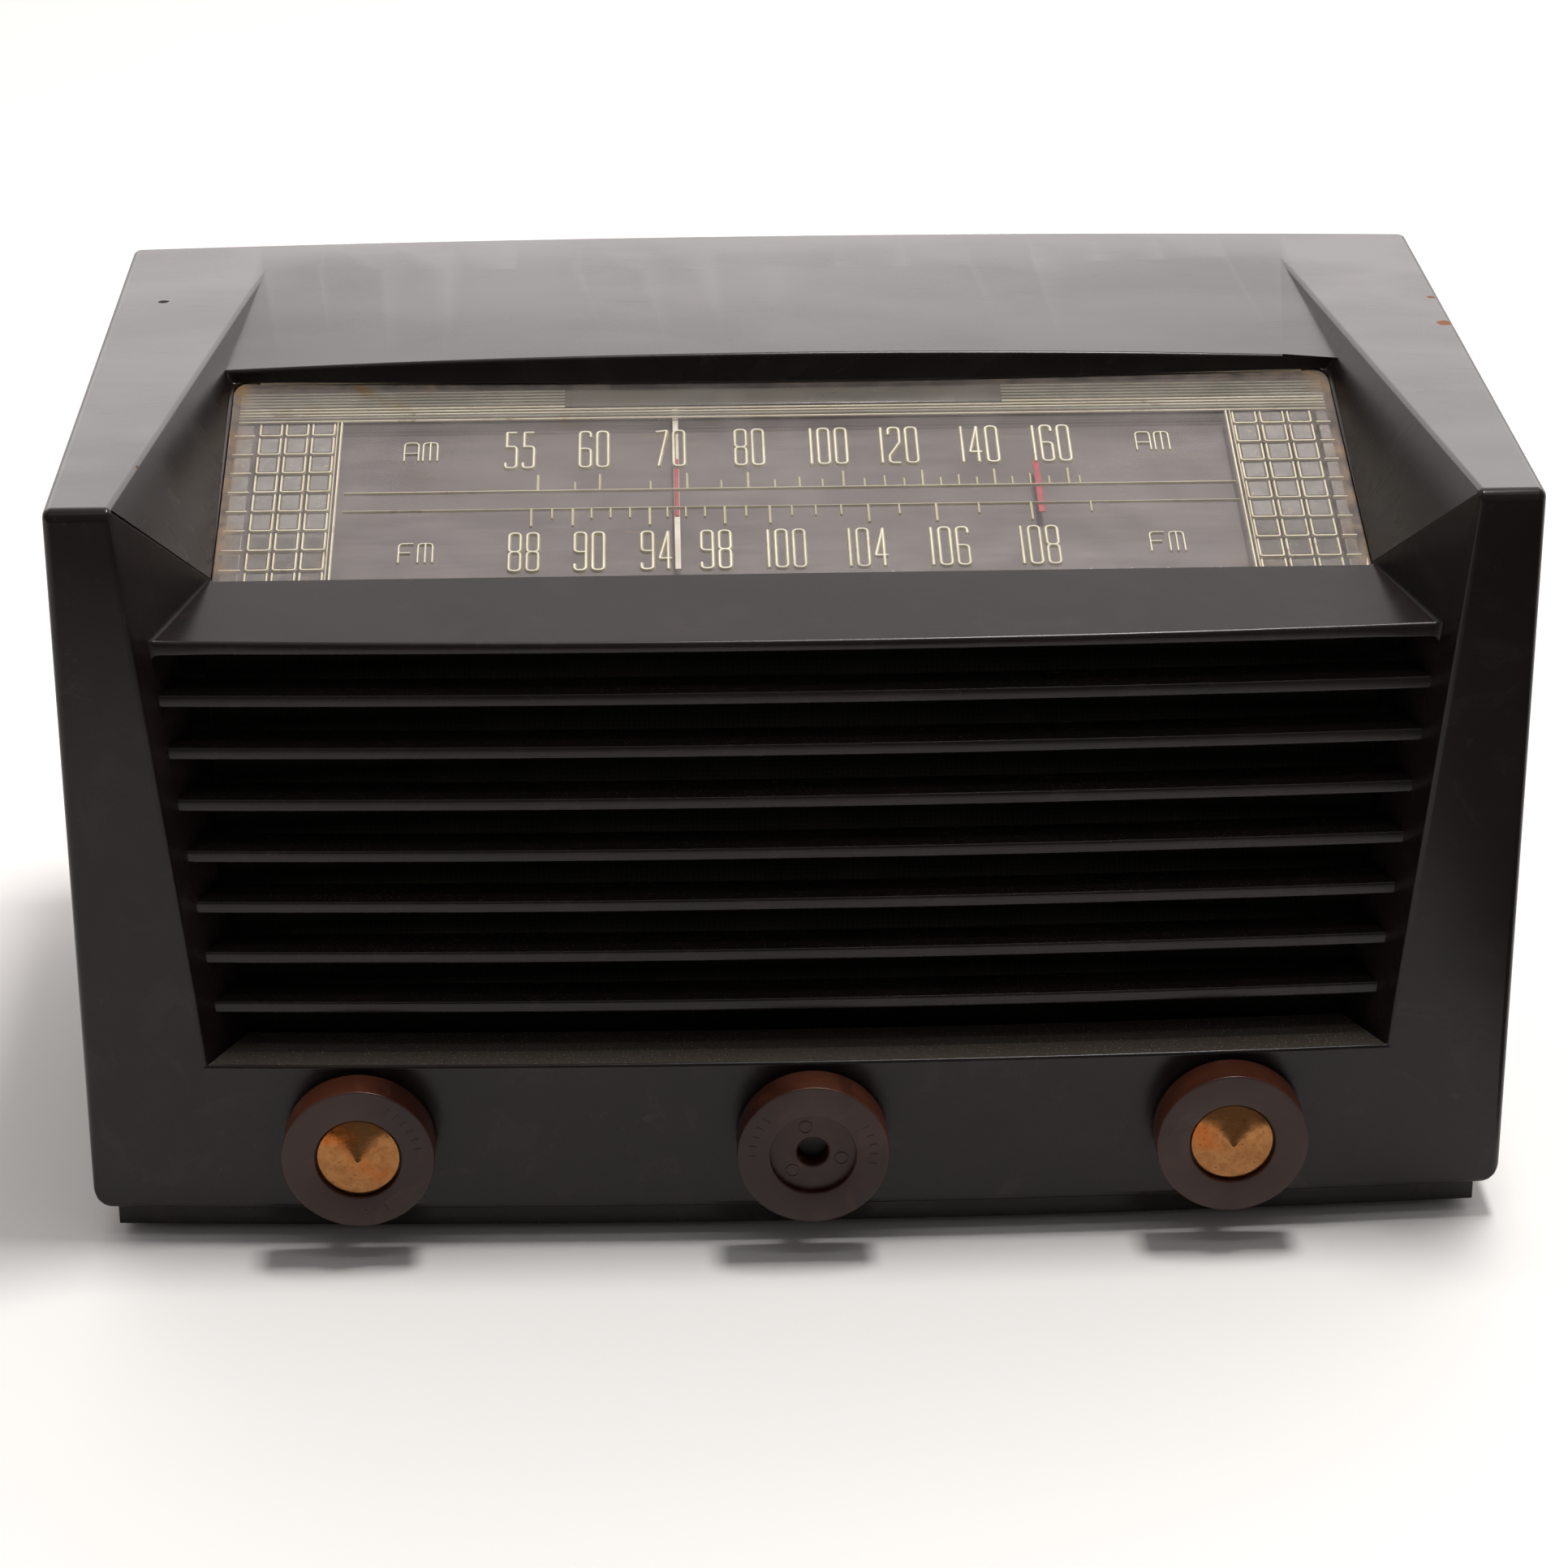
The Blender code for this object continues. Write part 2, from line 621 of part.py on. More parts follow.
def tuning_capacitor():
    axis = (DRUM_X, 0, DRUM_Z)
    half, base_z = 0.027, DRUM_Z - 0.0235
    foot = CHASSIS_TOP_Z + GAP
    front, rear = GANG_FRONT_Y, GANG_REAR_Y
    plates = [((DRUM_X - half, DRUM_X + half), (y, y + SHEET), (foot, DRUM_Z + 0.022))
              for y in (front, rear - SHEET)]
    frame = box("capacitor_frame", *plates[0], slot="plated_steel")
    join(frame, box("capacitor_rear_plate", *plates[1]))
    join(frame, box("capacitor_floor", (DRUM_X - half, DRUM_X + half), (front, rear),
                    (base_z - SHEET, base_z)))
    cut(frame, rods("capacitor_bore", BORE_RADIUS, (0, 1, 0), ((DRUM_X, 0.09, DRUM_Z), 0.08)))

    middle = (front + rear) / 2
    stack = [middle + GANG_PITCH * (index - (GANG_PLATES - 1) / 2) for index in range(GANG_PLATES)]
    shaft_end = rear + 0.003
    rotor = turned("capacitor_rotor", [(0, 0.0900), (0.0030, 0.0900), (0.0030, shaft_end),
                                       (0, shaft_end)], axis, "aluminium", segments=14)
    turn = Matrix.Rotation(DRUM_REST, 4, "Y")
    facing = Matrix.Rotation(math.pi / 2, 4, "X")
    for index, y in enumerate(stack):
        place = Matrix.Translation((DRUM_X, y, DRUM_Z)) @ turn @ facing
        blade = prism(f"rotor_plate_{index}", half_disc(ROTOR_RADIUS, 0.0025), -0.0005, 0.0005,
                      matrix=place)
        join(rotor, blade)

    stator = box("capacitor_stator", (DRUM_X - 0.0255, DRUM_X - 0.0215),
                 (stack[0] + 0.001, stack[-1] - 0.001), (DRUM_Z - 0.002, DRUM_Z + 0.002),
                 "aluminium")
    for index, (near, far) in enumerate(zip(stack, stack[1:])):
        tab_y = (near + far) / 2
        place = Matrix.Translation((DRUM_X, tab_y, DRUM_Z)) @ facing
        join(stator, prism(f"stator_plate_{index}", half_disc(0.0195, 0.0055), -0.0005, 0.0005,
                           matrix=place))
        join(stator, box(f"stator_tab_{index}", (DRUM_X - 0.0225, DRUM_X - 0.0185),
                         (tab_y - 0.0006, tab_y + 0.0006), (DRUM_Z - 0.0015, DRUM_Z + 0.0015)))


def knob(name, x, with_insert):
    face, back = KNOB_FACE, KNOB_BACK
    edge = 0.0007
    bore = BORE_RADIUS + (0.0001 if with_insert else 0.0002)
    profile = [(bore, back), (KNOB_RADIUS - edge, back), (KNOB_RADIUS, back + edge),
               (KNOB_RADIUS, face - edge), (KNOB_RADIUS - edge, face),
               (INSERT_RADIUS + GAP, face), (INSERT_RADIUS + GAP, face - INSERT_DEPTH),
               (bore, face - INSERT_DEPTH)]
    place = (x, front_y(x), KNOB_Z)
    turned(f"{name}_knob", profile, place, "bakelite", TO_FRONT, 28)
    if with_insert:
        low = face - INSERT_DEPTH + GAP
        rise = face - 0.0009
        crown = [(0, low), (INSERT_RADIUS, low), (INSERT_RADIUS, rise), (0.0080, rise + 0.0002),
                 (0.0006, face + 0.0015), (0, face + 0.0016)]
        turned(f"{name}_knob_insert", crown, place, "brass", TO_FRONT)


def control(name, x, body_radius, body_depth, lugs):
    """A control behind the chassis apron: a threaded bush, a round body and its lugs."""
    front, seat = CHASSIS_FRONT_Y - 0.007, CHASSIS_FRONT_Y + SHEET + GAP
    rear = seat + body_depth
    profile = [(0, rear), (body_radius, rear), (body_radius, seat), (0.0047, seat),
               (0.0047, front), (BORE_RADIUS, front), (BORE_RADIUS, rear - 0.002),
               (0, rear - 0.002)]
    centre = (x, 0, KNOB_Z)
    body = turned(f"{name}_control", profile, centre, "plated_steel", segments=20)
    tabs = boxes(f"{name}_lugs", *[((x + step * 0.006 - 0.001, x + step * 0.006 + 0.001),
                                    (seat + 0.003, seat + 0.004),
                                    (KNOB_Z + body_radius - 0.003, KNOB_Z + body_radius + 0.004))
                                   for step in lugs])
    join(body, tabs)
    start = front_y(x) - KNOB_FACE + INSERT_DEPTH + 0.0012
    end = rear - 0.0026
    turned(f"{name}_shaft", [(0, start), (SHAFT_RADIUS, start), (SHAFT_RADIUS, end), (0, end)],
           centre, "aluminium", segments=14)


def tuning_shaft():
    x = KNOB_X["tuning"]
    start, end = front_y(x) - 0.0040, 0.1080
    groove = DRIVE_RADIUS - CORD_RADIUS - GAP
    profile = [(0, start), (SHAFT_RADIUS, start), (SHAFT_RADIUS, DRIVE_Y - 0.0027),
               (0.0050, DRIVE_Y - 0.0027), (0.0050, DRIVE_Y - 0.0014), (groove, DRIVE_Y - 0.0012),
               (groove, DRIVE_Y + 0.0012), (0.0050, DRIVE_Y + 0.0014), (0.0050, DRIVE_Y + 0.0027),
               (SHAFT_RADIUS, DRIVE_Y + 0.0027), (SHAFT_RADIUS, end), (0, end)]
    turned("tuning_shaft", profile, (x, 0, KNOB_Z), "steel", segments=16)
    apron = CHASSIS_FRONT_Y
    bush = [(BORE_RADIUS, apron - 0.004), (0.0047, apron - 0.004), (0.0047, apron - 0.0018),
            (0.0070, apron - 0.0018), (0.0070, apron - GAP), (0.0047, apron - GAP),
            (0.0047, apron + 0.006), (BORE_RADIUS, apron + 0.006)]
    turned("tuning_bush", bush, (x, 0, KNOB_Z), "brass", segments=14)


TUBES = {    # name: (x, y, radius, height)
    "output_tube": (-0.100, 0.146, 0.0105, 0.048),
    "detector_tube": (-0.068, 0.112, 0.0105, 0.044),
    "first_if_tube": (-0.034, 0.146, 0.0092, 0.040),
    "converter_tube": (0.068, 0.146, 0.0105, 0.044),
    "second_if_tube": (0.100, 0.118, 0.0092, 0.040),
    "rectifier_tube": (0.100, 0.078, 0.0092, 0.046),
}
CANS = {"if_can_left": (-0.067, 0.148), "if_can_right": (0.068, 0.114)}
SOCKET_TOP_Z = CHASSIS_TOP_Z + 0.0042


def tubes():
    for name, (x, y, radius, height) in TUBES.items():
        base = SOCKET_TOP_Z + GAP
        profile = [(0, 0), (radius - 0.001, 0), (radius, 0.002), (radius, height - 0.010),
                   (radius * 0.82, height - 0.004), (radius * 0.42, height - 0.0012),
                   (0.0014, height), (0.0006, height + 0.004), (0, height + 0.0045)]
        turned(name, profile, (x, y, base), "glass", UPRIGHT, 14)
        bottom = CHASSIS_TOP_Z - 0.009
        seat = CHASSIS_TOP_Z + GAP
        ring = [(0.0022, bottom), (0.0084, bottom), (0.0084, seat), (0.0106, seat),
                (0.0106, SOCKET_TOP_Z), (0.0022, SOCKET_TOP_Z)]
        turned(name.replace("_tube", "_socket"), ring, (x, y, 0), "phenolic", UPRIGHT, 14)


def chassis():
    x, top, bottom = CHASSIS_X, CHASSIS_TOP_Z, CHASSIS_BOTTOM_Z
    front, rear = CHASSIS_FRONT_Y, CHASSIS_REAR_Y
    pan = box("chassis", (-x, x), (front, rear), (bottom, top), "plated_steel")
    cut(pan, box("chassis_inside", (-x + SHEET, x - SHEET), (front + SHEET, rear - SHEET),
                 (bottom - 0.01, top - SHEET)))
    cut(pan, rods("socket_holes", 0.0087, (0, 0, 1),
                  *[((tube[0], tube[1], top - 0.01), 0.02) for tube in TUBES.values()],
                  segments=12))
    cut(pan, rods("apron_holes", 0.0050, (0, 1, 0),
                  *[((hole, front - 0.005, KNOB_Z), 0.01) for hole in KNOB_X.values()]))
    cut(pan, box("cord_slot", (-0.010, 0.034), (DRIVE_Y - 0.003, DRIVE_Y + 0.003),
                 (top - 0.005, top + 0.005)))
    bracket = box("shaft_bracket", (-0.0060, 0.0110), (0.1040, 0.1040 + SHEET),
                  (0.0100, top - SHEET / 2))
    cut(bracket, rods("bracket_hole", BORE_RADIUS, (0, 1, 0),
                      ((KNOB_X["tuning"], 0.10, KNOB_Z), 0.01)))
    join(pan, bracket)


def chassis_parts():
    seat = CHASSIS_TOP_Z + GAP
    for name, (x, y) in CANS.items():
        can = box(name, (x - 0.0095, x + 0.0095), (y - 0.0095, y + 0.0095),
                  (seat, seat + 0.050), "aluminium")
        bevel = can.modifiers.new("edges", "BEVEL")
        bevel.width = 0.0015
        bevel.segments = 2
    radius, height = 0.0125, 0.058
    can = [(0, 0), (radius, 0), (radius, height - 0.0015), (radius - 0.0015, height), (0, height)]
    turned("filter_capacitor", can, (-0.100, 0.102, seat), "aluminium", UPRIGHT, 20)
    x, y = 0.060, 0.071
    core = box("output_transformer", (x - 0.020, x + 0.020), (y - 0.007, y + 0.007),
               (seat, seat + 0.033), "plated_steel")
    join(core, box("transformer_coil", (x - 0.012, x + 0.012), (y - 0.013, y + 0.013),
                   (seat + 0.0065, seat + 0.0265)))
    join(core, box("transformer_feet", (x - 0.026, x + 0.026), (y - 0.006, y + 0.006),
                   (seat, seat + SHEET)))


def speaker():
    centre = (SPEAKER_X, 0, SPEAKER_Z)
    flange_y = 0.0205
    basket = [(0.049, flange_y), (0.049, flange_y + SHEET), (0.0445, flange_y + SHEET),
              (0.0190, 0.0562), (0.0085, 0.0562), (0.0085, 0.0550), (0.0180, 0.0550),
              (0.0432, flange_y + SHEET), (0.0424, flange_y)]
    frame = turned("speaker_frame", basket, centre, "plated_steel", segments=24)
    windows = bmesh.new()
    for turn in range(4):
        angle = Matrix.Rotation(math.radians(45 + 90 * turn), 4, "Y")
        size = Matrix.Diagonal((0.030, 0.019, 0.024, 1.0))
        place = Matrix.Translation(centre) @ angle @ Matrix.Translation((0.037, 0.040, 0)) @ size
        bmesh.ops.create_cube(windows, size=1.0, matrix=place)
    cut(frame, add_object("basket_windows", windows))
    magnet = [(0, 0.0566), (0.0190, 0.0566), (0.0210, 0.0580), (0.0210, 0.0745), (0.0190, 0.0760),
              (0, 0.0760)]
    turned("speaker_magnet", magnet, centre, "plated_steel", segments=20)
    cone = [(0, 0.0400), (0.0070, 0.0415), (0.0115, 0.0448), (0.0400, 0.0232), (0.0400, 0.0241),
            (0.0120, 0.0462), (0.0075, 0.0440), (0, 0.0412)]
    turned("speaker_cone", cone, centre, "paper")


def baffle():
    low, high = BAFFLE_Z
    board = box("speaker_baffle", (-BAFFLE_X, BAFFLE_X), (0.0172, 0.0202), (low, high),
                "fibreboard")
    cut(board, rods("baffle_hole", 0.0425, (0, 1, 0), ((SPEAKER_X, 0.01, SPEAKER_Z), 0.02),
                    segments=24))
    box("grille_cloth", (-BAFFLE_X, BAFFLE_X), (0.0160, 0.0168), (low, high), "cloth")


def pilot_lamps():
    """A bayonet lamp and its holder at each end of the dial, under the backplate."""
    y, z = 0.072, 0.118
    for side, sign in (("left", -1), ("right", 1)):
        outwards = Matrix.Rotation(sign * math.pi / 2, 4, "Y")
        holder = [(0, 0.0990), (0.0045, 0.0990), (0.0045, 0.0960), (0.0062, 0.0960),
                  (0.0062, 0.1168), (0, 0.1168)]
        turned(f"lamp_holder_{side}", holder, (0, y, z), "brass", outwards, 14)
        bulb = [(0, 0.0740), (0.0028, 0.0750), (0.0046, 0.0780), (0.0050, 0.0820),
                (0.0042, 0.0860), (0.0042, 0.0987), (0, 0.0987)]
        turned(f"pilot_lamp_{side}", bulb, (0, y, z), "glass", outwards, 14)


def back_cover():
    front, rear = COVER_Y
    cover = box("back_cover", (-0.1468, 0.1468), (front, rear), (0.0038, 0.1566), "fibreboard")
    slots = [((x - 0.002, x + 0.002), (front - 0.01, rear + 0.01), (z - 0.010, z + 0.010))
             for z in (0.070, 0.116) for x in [-0.084 + 0.024 * step for step in range(8)]]
    slots.append(((INLET_X - 0.0156, INLET_X + 0.0156), (front - 0.01, rear + 0.01),
                  (INLET_Z - 0.0083, INLET_Z + 0.0083)))
    slots.append(((TERMINALS_X - 0.025, TERMINALS_X + 0.025), (front - 0.01, rear + 0.01),
                  (INLET_Z - 0.008, INLET_Z + 0.008)))
    cut(cover, boxes("cover_slots", *slots))
    loop = box("loop_antenna", (-0.128, 0.128), (front - 0.0016, front - 0.0004),
               (0.040, 0.146), "copper")
    cut(loop, box("loop_inside", (-0.115, 0.115), (front - 0.01, front + 0.01), (0.053, 0.133)))


def rear_connectors():
    start = CHASSIS_REAR_Y + 0.0004
    end = start + 0.010
    inlet = box("ac_inlet", (INLET_X - 0.015, INLET_X + 0.015), (start, end),
                (INLET_Z - 0.0077, INLET_Z + 0.0077), "phenolic")
    cut(inlet, box("inlet_recess", (INLET_X - 0.013, INLET_X + 0.013), (start + 0.002, end + 0.01),
                   (INLET_Z - 0.0057, INLET_Z + 0.0057)))
    join(inlet, rods("inlet_pins", 0.0012, (0, 1, 0),
                     *[((INLET_X + side * 0.0075, start + 0.001, INLET_Z), 0.0075)
                       for side in (-1, 1)], segments=10))
    block = box("antenna_terminals", (TERMINALS_X - 0.023, TERMINALS_X + 0.023),
                (start, start + 0.004), (INLET_Z - 0.0065, INLET_Z + 0.0065), "phenolic")
    join(block, rods("terminal_screws", 0.0028, (0, 1, 0),
                     *[((TERMINALS_X + step * 0.014, start + 0.0035, INLET_Z), 0.0025)
                       for step in (-1, 0, 1)], segments=12))


def stand_on_floor():
    """Moves the cabinet's frame to the middle of the radio's footprint, at table height."""
    front = front_y(0) - KNOB_FACE
    frame = bpy.data.objects.new("radio_frame", None)
    frame.location = (0, -(front + DEPTH) / 2, FOOT_DROP)
    bpy.context.scene.collection.objects.link(frame)
    for obj in list(PARTS.objects) + list(CUTTERS.objects):
        obj.parent = frame


clear_scene()
PARTS = collection("tabletop_radio")
CUTTERS = collection("cutters")

cabinet()
feet()
dial_glass()
dial_bracket()
dial_drive()
dial_drum()
tuning_capacitor()
knob("volume", KNOB_X["volume"], True)
knob("tuning", KNOB_X["tuning"], False)
knob("band", KNOB_X["band"], True)
control("volume", KNOB_X["volume"], 0.0118, 0.012, (-1, 0, 1))
control("band", KNOB_X["band"], 0.0118, 0.016, (-1, 1))
tuning_shaft()
chassis()
tubes()
chassis_parts()
speaker()
baffle()
pilot_lamps()
back_cover()
rear_connectors()
stand_on_floor()
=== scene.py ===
"""Looks of the tabletop radio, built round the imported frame.

Metres, +Z up. Shapes are drawn in the cabinet's own frame, as in the CAD: X to the right from the
middle of the front, Y back from the front corners, Z up from the lower edge of the front face.
piece() moves them to the frame that the CAD nodes are in.
"""

import json
import math

import bmesh
import bpy
from mathutils import Matrix, Vector


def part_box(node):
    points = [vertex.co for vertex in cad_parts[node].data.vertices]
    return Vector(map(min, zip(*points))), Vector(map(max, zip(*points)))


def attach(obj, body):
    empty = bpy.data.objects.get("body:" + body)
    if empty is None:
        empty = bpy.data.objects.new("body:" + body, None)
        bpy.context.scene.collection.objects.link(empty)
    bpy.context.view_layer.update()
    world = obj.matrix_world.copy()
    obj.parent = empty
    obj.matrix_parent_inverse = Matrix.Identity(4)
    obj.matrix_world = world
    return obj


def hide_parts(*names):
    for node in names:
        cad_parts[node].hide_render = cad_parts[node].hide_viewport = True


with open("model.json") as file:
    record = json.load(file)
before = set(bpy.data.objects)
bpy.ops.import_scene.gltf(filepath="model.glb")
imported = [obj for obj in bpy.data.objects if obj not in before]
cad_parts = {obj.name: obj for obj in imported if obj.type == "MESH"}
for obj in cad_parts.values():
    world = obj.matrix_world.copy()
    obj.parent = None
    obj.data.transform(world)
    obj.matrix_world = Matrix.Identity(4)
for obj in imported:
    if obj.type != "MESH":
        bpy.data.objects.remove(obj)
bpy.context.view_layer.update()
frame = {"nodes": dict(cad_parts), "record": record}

# Cabinet. Its bow and crown are how far the middles of the front and the top stand out.
WIDTH, HEIGHT, DEPTH = 0.305, 0.1605, 0.1805
BOW, CROWN, WALL = 0.0046, 0.0015, 0.0032
STATIONS = 20
SILL_Z, LIP_BOTTOM_Z, GRILLE_BACK_Y = 0.0352, 0.1268, 0.0225
PANEL_REAR_Y = 0.1535
BROW_Y, BROW_BOW = 0.1003, 0.0023
BROW_Z, BROW_RISE = 0.1561, 0.0033
DIAL_FOOT_Y, DIAL_FOOT_Z = 0.0280, 0.1347
DIAL_SLOPE, SHELF_SLOPE = math.radians(14.45), math.radians(11.9)
NOSE_SETBACK = 0.0064
CHEEK_TOP = Vector((0.1389, 0.0, 0.1605))
CHEEK_FOOT = Vector((0.1255, 0.0, 0.0352))
CREASE_REAR = Vector((0.1200, 0.1535, 0.1605))
CREASE_FOOT = Vector((0.1222, 0.0280, 0.1347))
SIDE_ROUND, TOP_ROUND, OTHER_ROUND, CUT_EASE = 0.005, 0.0025, 0.0018, 0.0008
LOUVRES, LOUVRE_TOP_Z, LOUVRE_PITCH = 7, 0.1166, 0.0118
LOUVRE_THICK, LOUVRE_EASE, SLAT_DEPTH = 0.0028, 0.0006, 0.009
PLINTH_DROP, PLINTH_INSET, PLINTH_WALL = 0.006, 0.0047, 0.004
FOOT_X, FOOT_YS, BOSS_RADIUS = 0.118, (0.0115, 0.1685), 0.0068
POST_X, POST_ZS, POST_RADIUS = 0.1455, (0.0095, 0.1505), 0.0045
VENT_XS, VENT_YS = (-0.09, -0.03, 0.03, 0.09), (0.07, 0.14)
SCREW_X, SCREW_ZS, SCREW_RADIUS, SCREW_HIGH = 0.1405, (0.0100, 0.1500), 0.0034, 0.0016

# Knobs, each drawn from its back, with Z towards its face
KNOB_X = {"volume": -0.0941, "tuning": 0.0025, "band": 0.0921}
KNOB_TICKS = {"volume": (*range(60, 0, -10), -65, -75, -85),
              "tuning": (*range(140, 190, 10), *range(30, -20, -10)), "band": ()}
KNOB_Z, SHAFT_HOLE = 0.0179, 0.0048
KNOB_RADIUS, KNOB_DEEP, KNOB_EASE, BORE_RADIUS = 0.0162, 0.0082, 0.0004, 0.0034
INSERT_RADIUS, INSERT_DEPTH, INSERT_TIP = 0.0089, 0.0016, 0.0016

# Dial, in its own frame: X across, Y up the slope from the foot, Z out of the dial's plane
PANE_X, PANE_T = 0.1221, (-0.0010, 0.0752)
PANE_Z = (-0.0012, -0.0002)
SCALE_Z, NEEDLE_TOP_Z = -0.0014, -0.0024
MARK_Z = (SCALE_Z - 0.0003, PANE_Z[0] + 0.0001)
POINTER_X, RED_MARK_X = -0.0242, 0.0543
RIB_X, STRIP_X, STRIP_T = 0.1205, 0.0486, (64.0, 70.4)
# To the camera, what lies under the dial's plane looks lower on it, by this many times its depth.
SIGHT = 1.257

# Dust on flat faces: thick up to the sill, thin up to the lip, and none above
DUST_LEVELS = ((0.050, 0.052, 0.85), (LIP_BOTTOM_Z, LIP_BOTTOM_Z + 0.0007, 0.15))
DUST, SCUFF = (0.32, 0.27, 0.22), (0.09, 0.077, 0.072)

# Camera: its place, its pitch, yaw and roll in degrees, and its lens
CAMERA_AT, CAMERA_ANGLES, LENS = (-0.028, -0.91005, 0.474), (23.98, 1.73, 0.21), 100.0

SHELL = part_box("cabinet_shell")
BASE = Matrix.Translation((0, SHELL[1].y - DEPTH, SHELL[0].z + PLINTH_DROP))
DIAL = Matrix.Translation((0, DIAL_FOOT_Y, DIAL_FOOT_Z)) @ Matrix.Rotation(DIAL_SLOPE, 4, "X")
PANE_FAR_Y = SHELL[1].y - DEPTH + DIAL_FOOT_Y + PANE_T[1] * math.cos(DIAL_SLOPE)
TO_FRONT, TO_BACK = Matrix.Rotation(math.pi / 2, 4, "X"), Matrix.Rotation(-math.pi / 2, 4, "X")
IDENTITY = Matrix.Identity(4)


# ---- materials

def add(tree, kind, values=(), **props):
    """A shader node with some of its inputs set, or linked where the value is another socket."""
    node = tree.nodes.new("ShaderNode" + kind)
    for key, value in props.items():
        setattr(node, key, value)
    for name, value in dict(values).items():
        if isinstance(value, bpy.types.NodeSocket):
            tree.links.new(value, node.inputs[name])
        else:
            node.inputs[name].default_value = value
    return node


def start(**sockets):
    """A new material: its node tree and its Principled node, with plain values set on it."""
    made = bpy.data.materials.new("material")
    made.use_nodes = True
    tree = made.node_tree
    shader = tree.nodes["Principled BSDF"]
    for socket, value in sockets.items():
        shader.inputs[socket.replace("_", " ")].default_value = value
    return made, tree, shader


def feed(tree, shader, **sockets):
    for name, value in sockets.items():
        tree.links.new(value, shader.inputs[name.replace("_", " ")])


def place(tree, stretch=(1, 1, 1)):
    """The piece's own coordinates, stretched, for patterns that run one way."""
    where = add(tree, "TexCoord")
    return add(tree, "Mapping", {"Vector": where.outputs["Object"], "Scale": stretch}).outputs["Vector"]


def noise(tree, vector, scale, detail=3.0, distortion=0.0, roughness=0.55):
    return add(tree, "TexNoise", {"Vector": vector, "Scale": scale, "Detail": detail,
                                  "Distortion": distortion, "Roughness": roughness}).outputs["Fac"]


def spread(tree, value, low, high, to_low=0.0, to_high=1.0):
    """Maps low..high of a socket to to_low..to_high, smoothly and no further."""
    return add(tree, "MapRange", {"Value": value, "From Min": low, "From Max": high, "To Min": to_low,
                                  "To Max": to_high}, interpolation_type="SMOOTHSTEP").outputs["Result"]


def blend(tree, factor, first, second):
    """A mix of two colours, each a tuple or a socket."""
    first, second = ((*value, 1.0) if isinstance(value, tuple) else value for value in (first, second))
    return add(tree, "Mix", {0: factor, 6: first, 7: second}, data_type="RGBA").outputs[2]


def maths(tree, operation, first, second=0.5, clamp=False):
    return add(tree, "Math", {0: first, 1: second}, operation=operation, use_clamp=clamp).outputs[0]


def times(tree, first, second):
    return maths(tree, "MULTIPLY", first, second, clamp=True)


def plus(tree, first, second):
    return maths(tree, "ADD", first, second)


def axis_of(tree, vector, axis):
    return add(tree, "SeparateXYZ", {0: vector}).outputs[axis]


def bump(tree, shader, height, strength, distance):
    node = add(tree, "Bump", {"Height": height, "Strength": strength, "Distance": distance})
    feed(tree, shader, Normal=node.outputs["Normal"])


def surface(tones, roughness, size, stretch=(1, 1, 1), stain=None, grain=(0.2, 0.0002, 3000),
            **sockets):
    """A worn surface: two tones in patches of a size, a rarer stain, uneven gloss and fine grain."""
    made, tree, shader = start(**sockets)
    where = place(tree, stretch)
    patches = spread(tree, noise(tree, where, 1 / size, 5.0, 0.6), 0.35, 0.65)
    colour = blend(tree, patches, *tones)
    if stain:
        spots = spread(tree, noise(tree, where, 3 / size, 6.0, 1.2), 0.60, 0.72)
        colour = blend(tree, spots, colour, stain)
    feed(tree, shader, Base_Color=colour)
    gloss = spread(tree, noise(tree, where, 2.3 / size, 6.0, 0.3), 0.3, 0.7, *roughness)
    feed(tree, shader, Roughness=gloss)
    strength, distance, scale = grain
    bump(tree, shader, noise(tree, where, scale, 2.0), strength, distance)
    return made


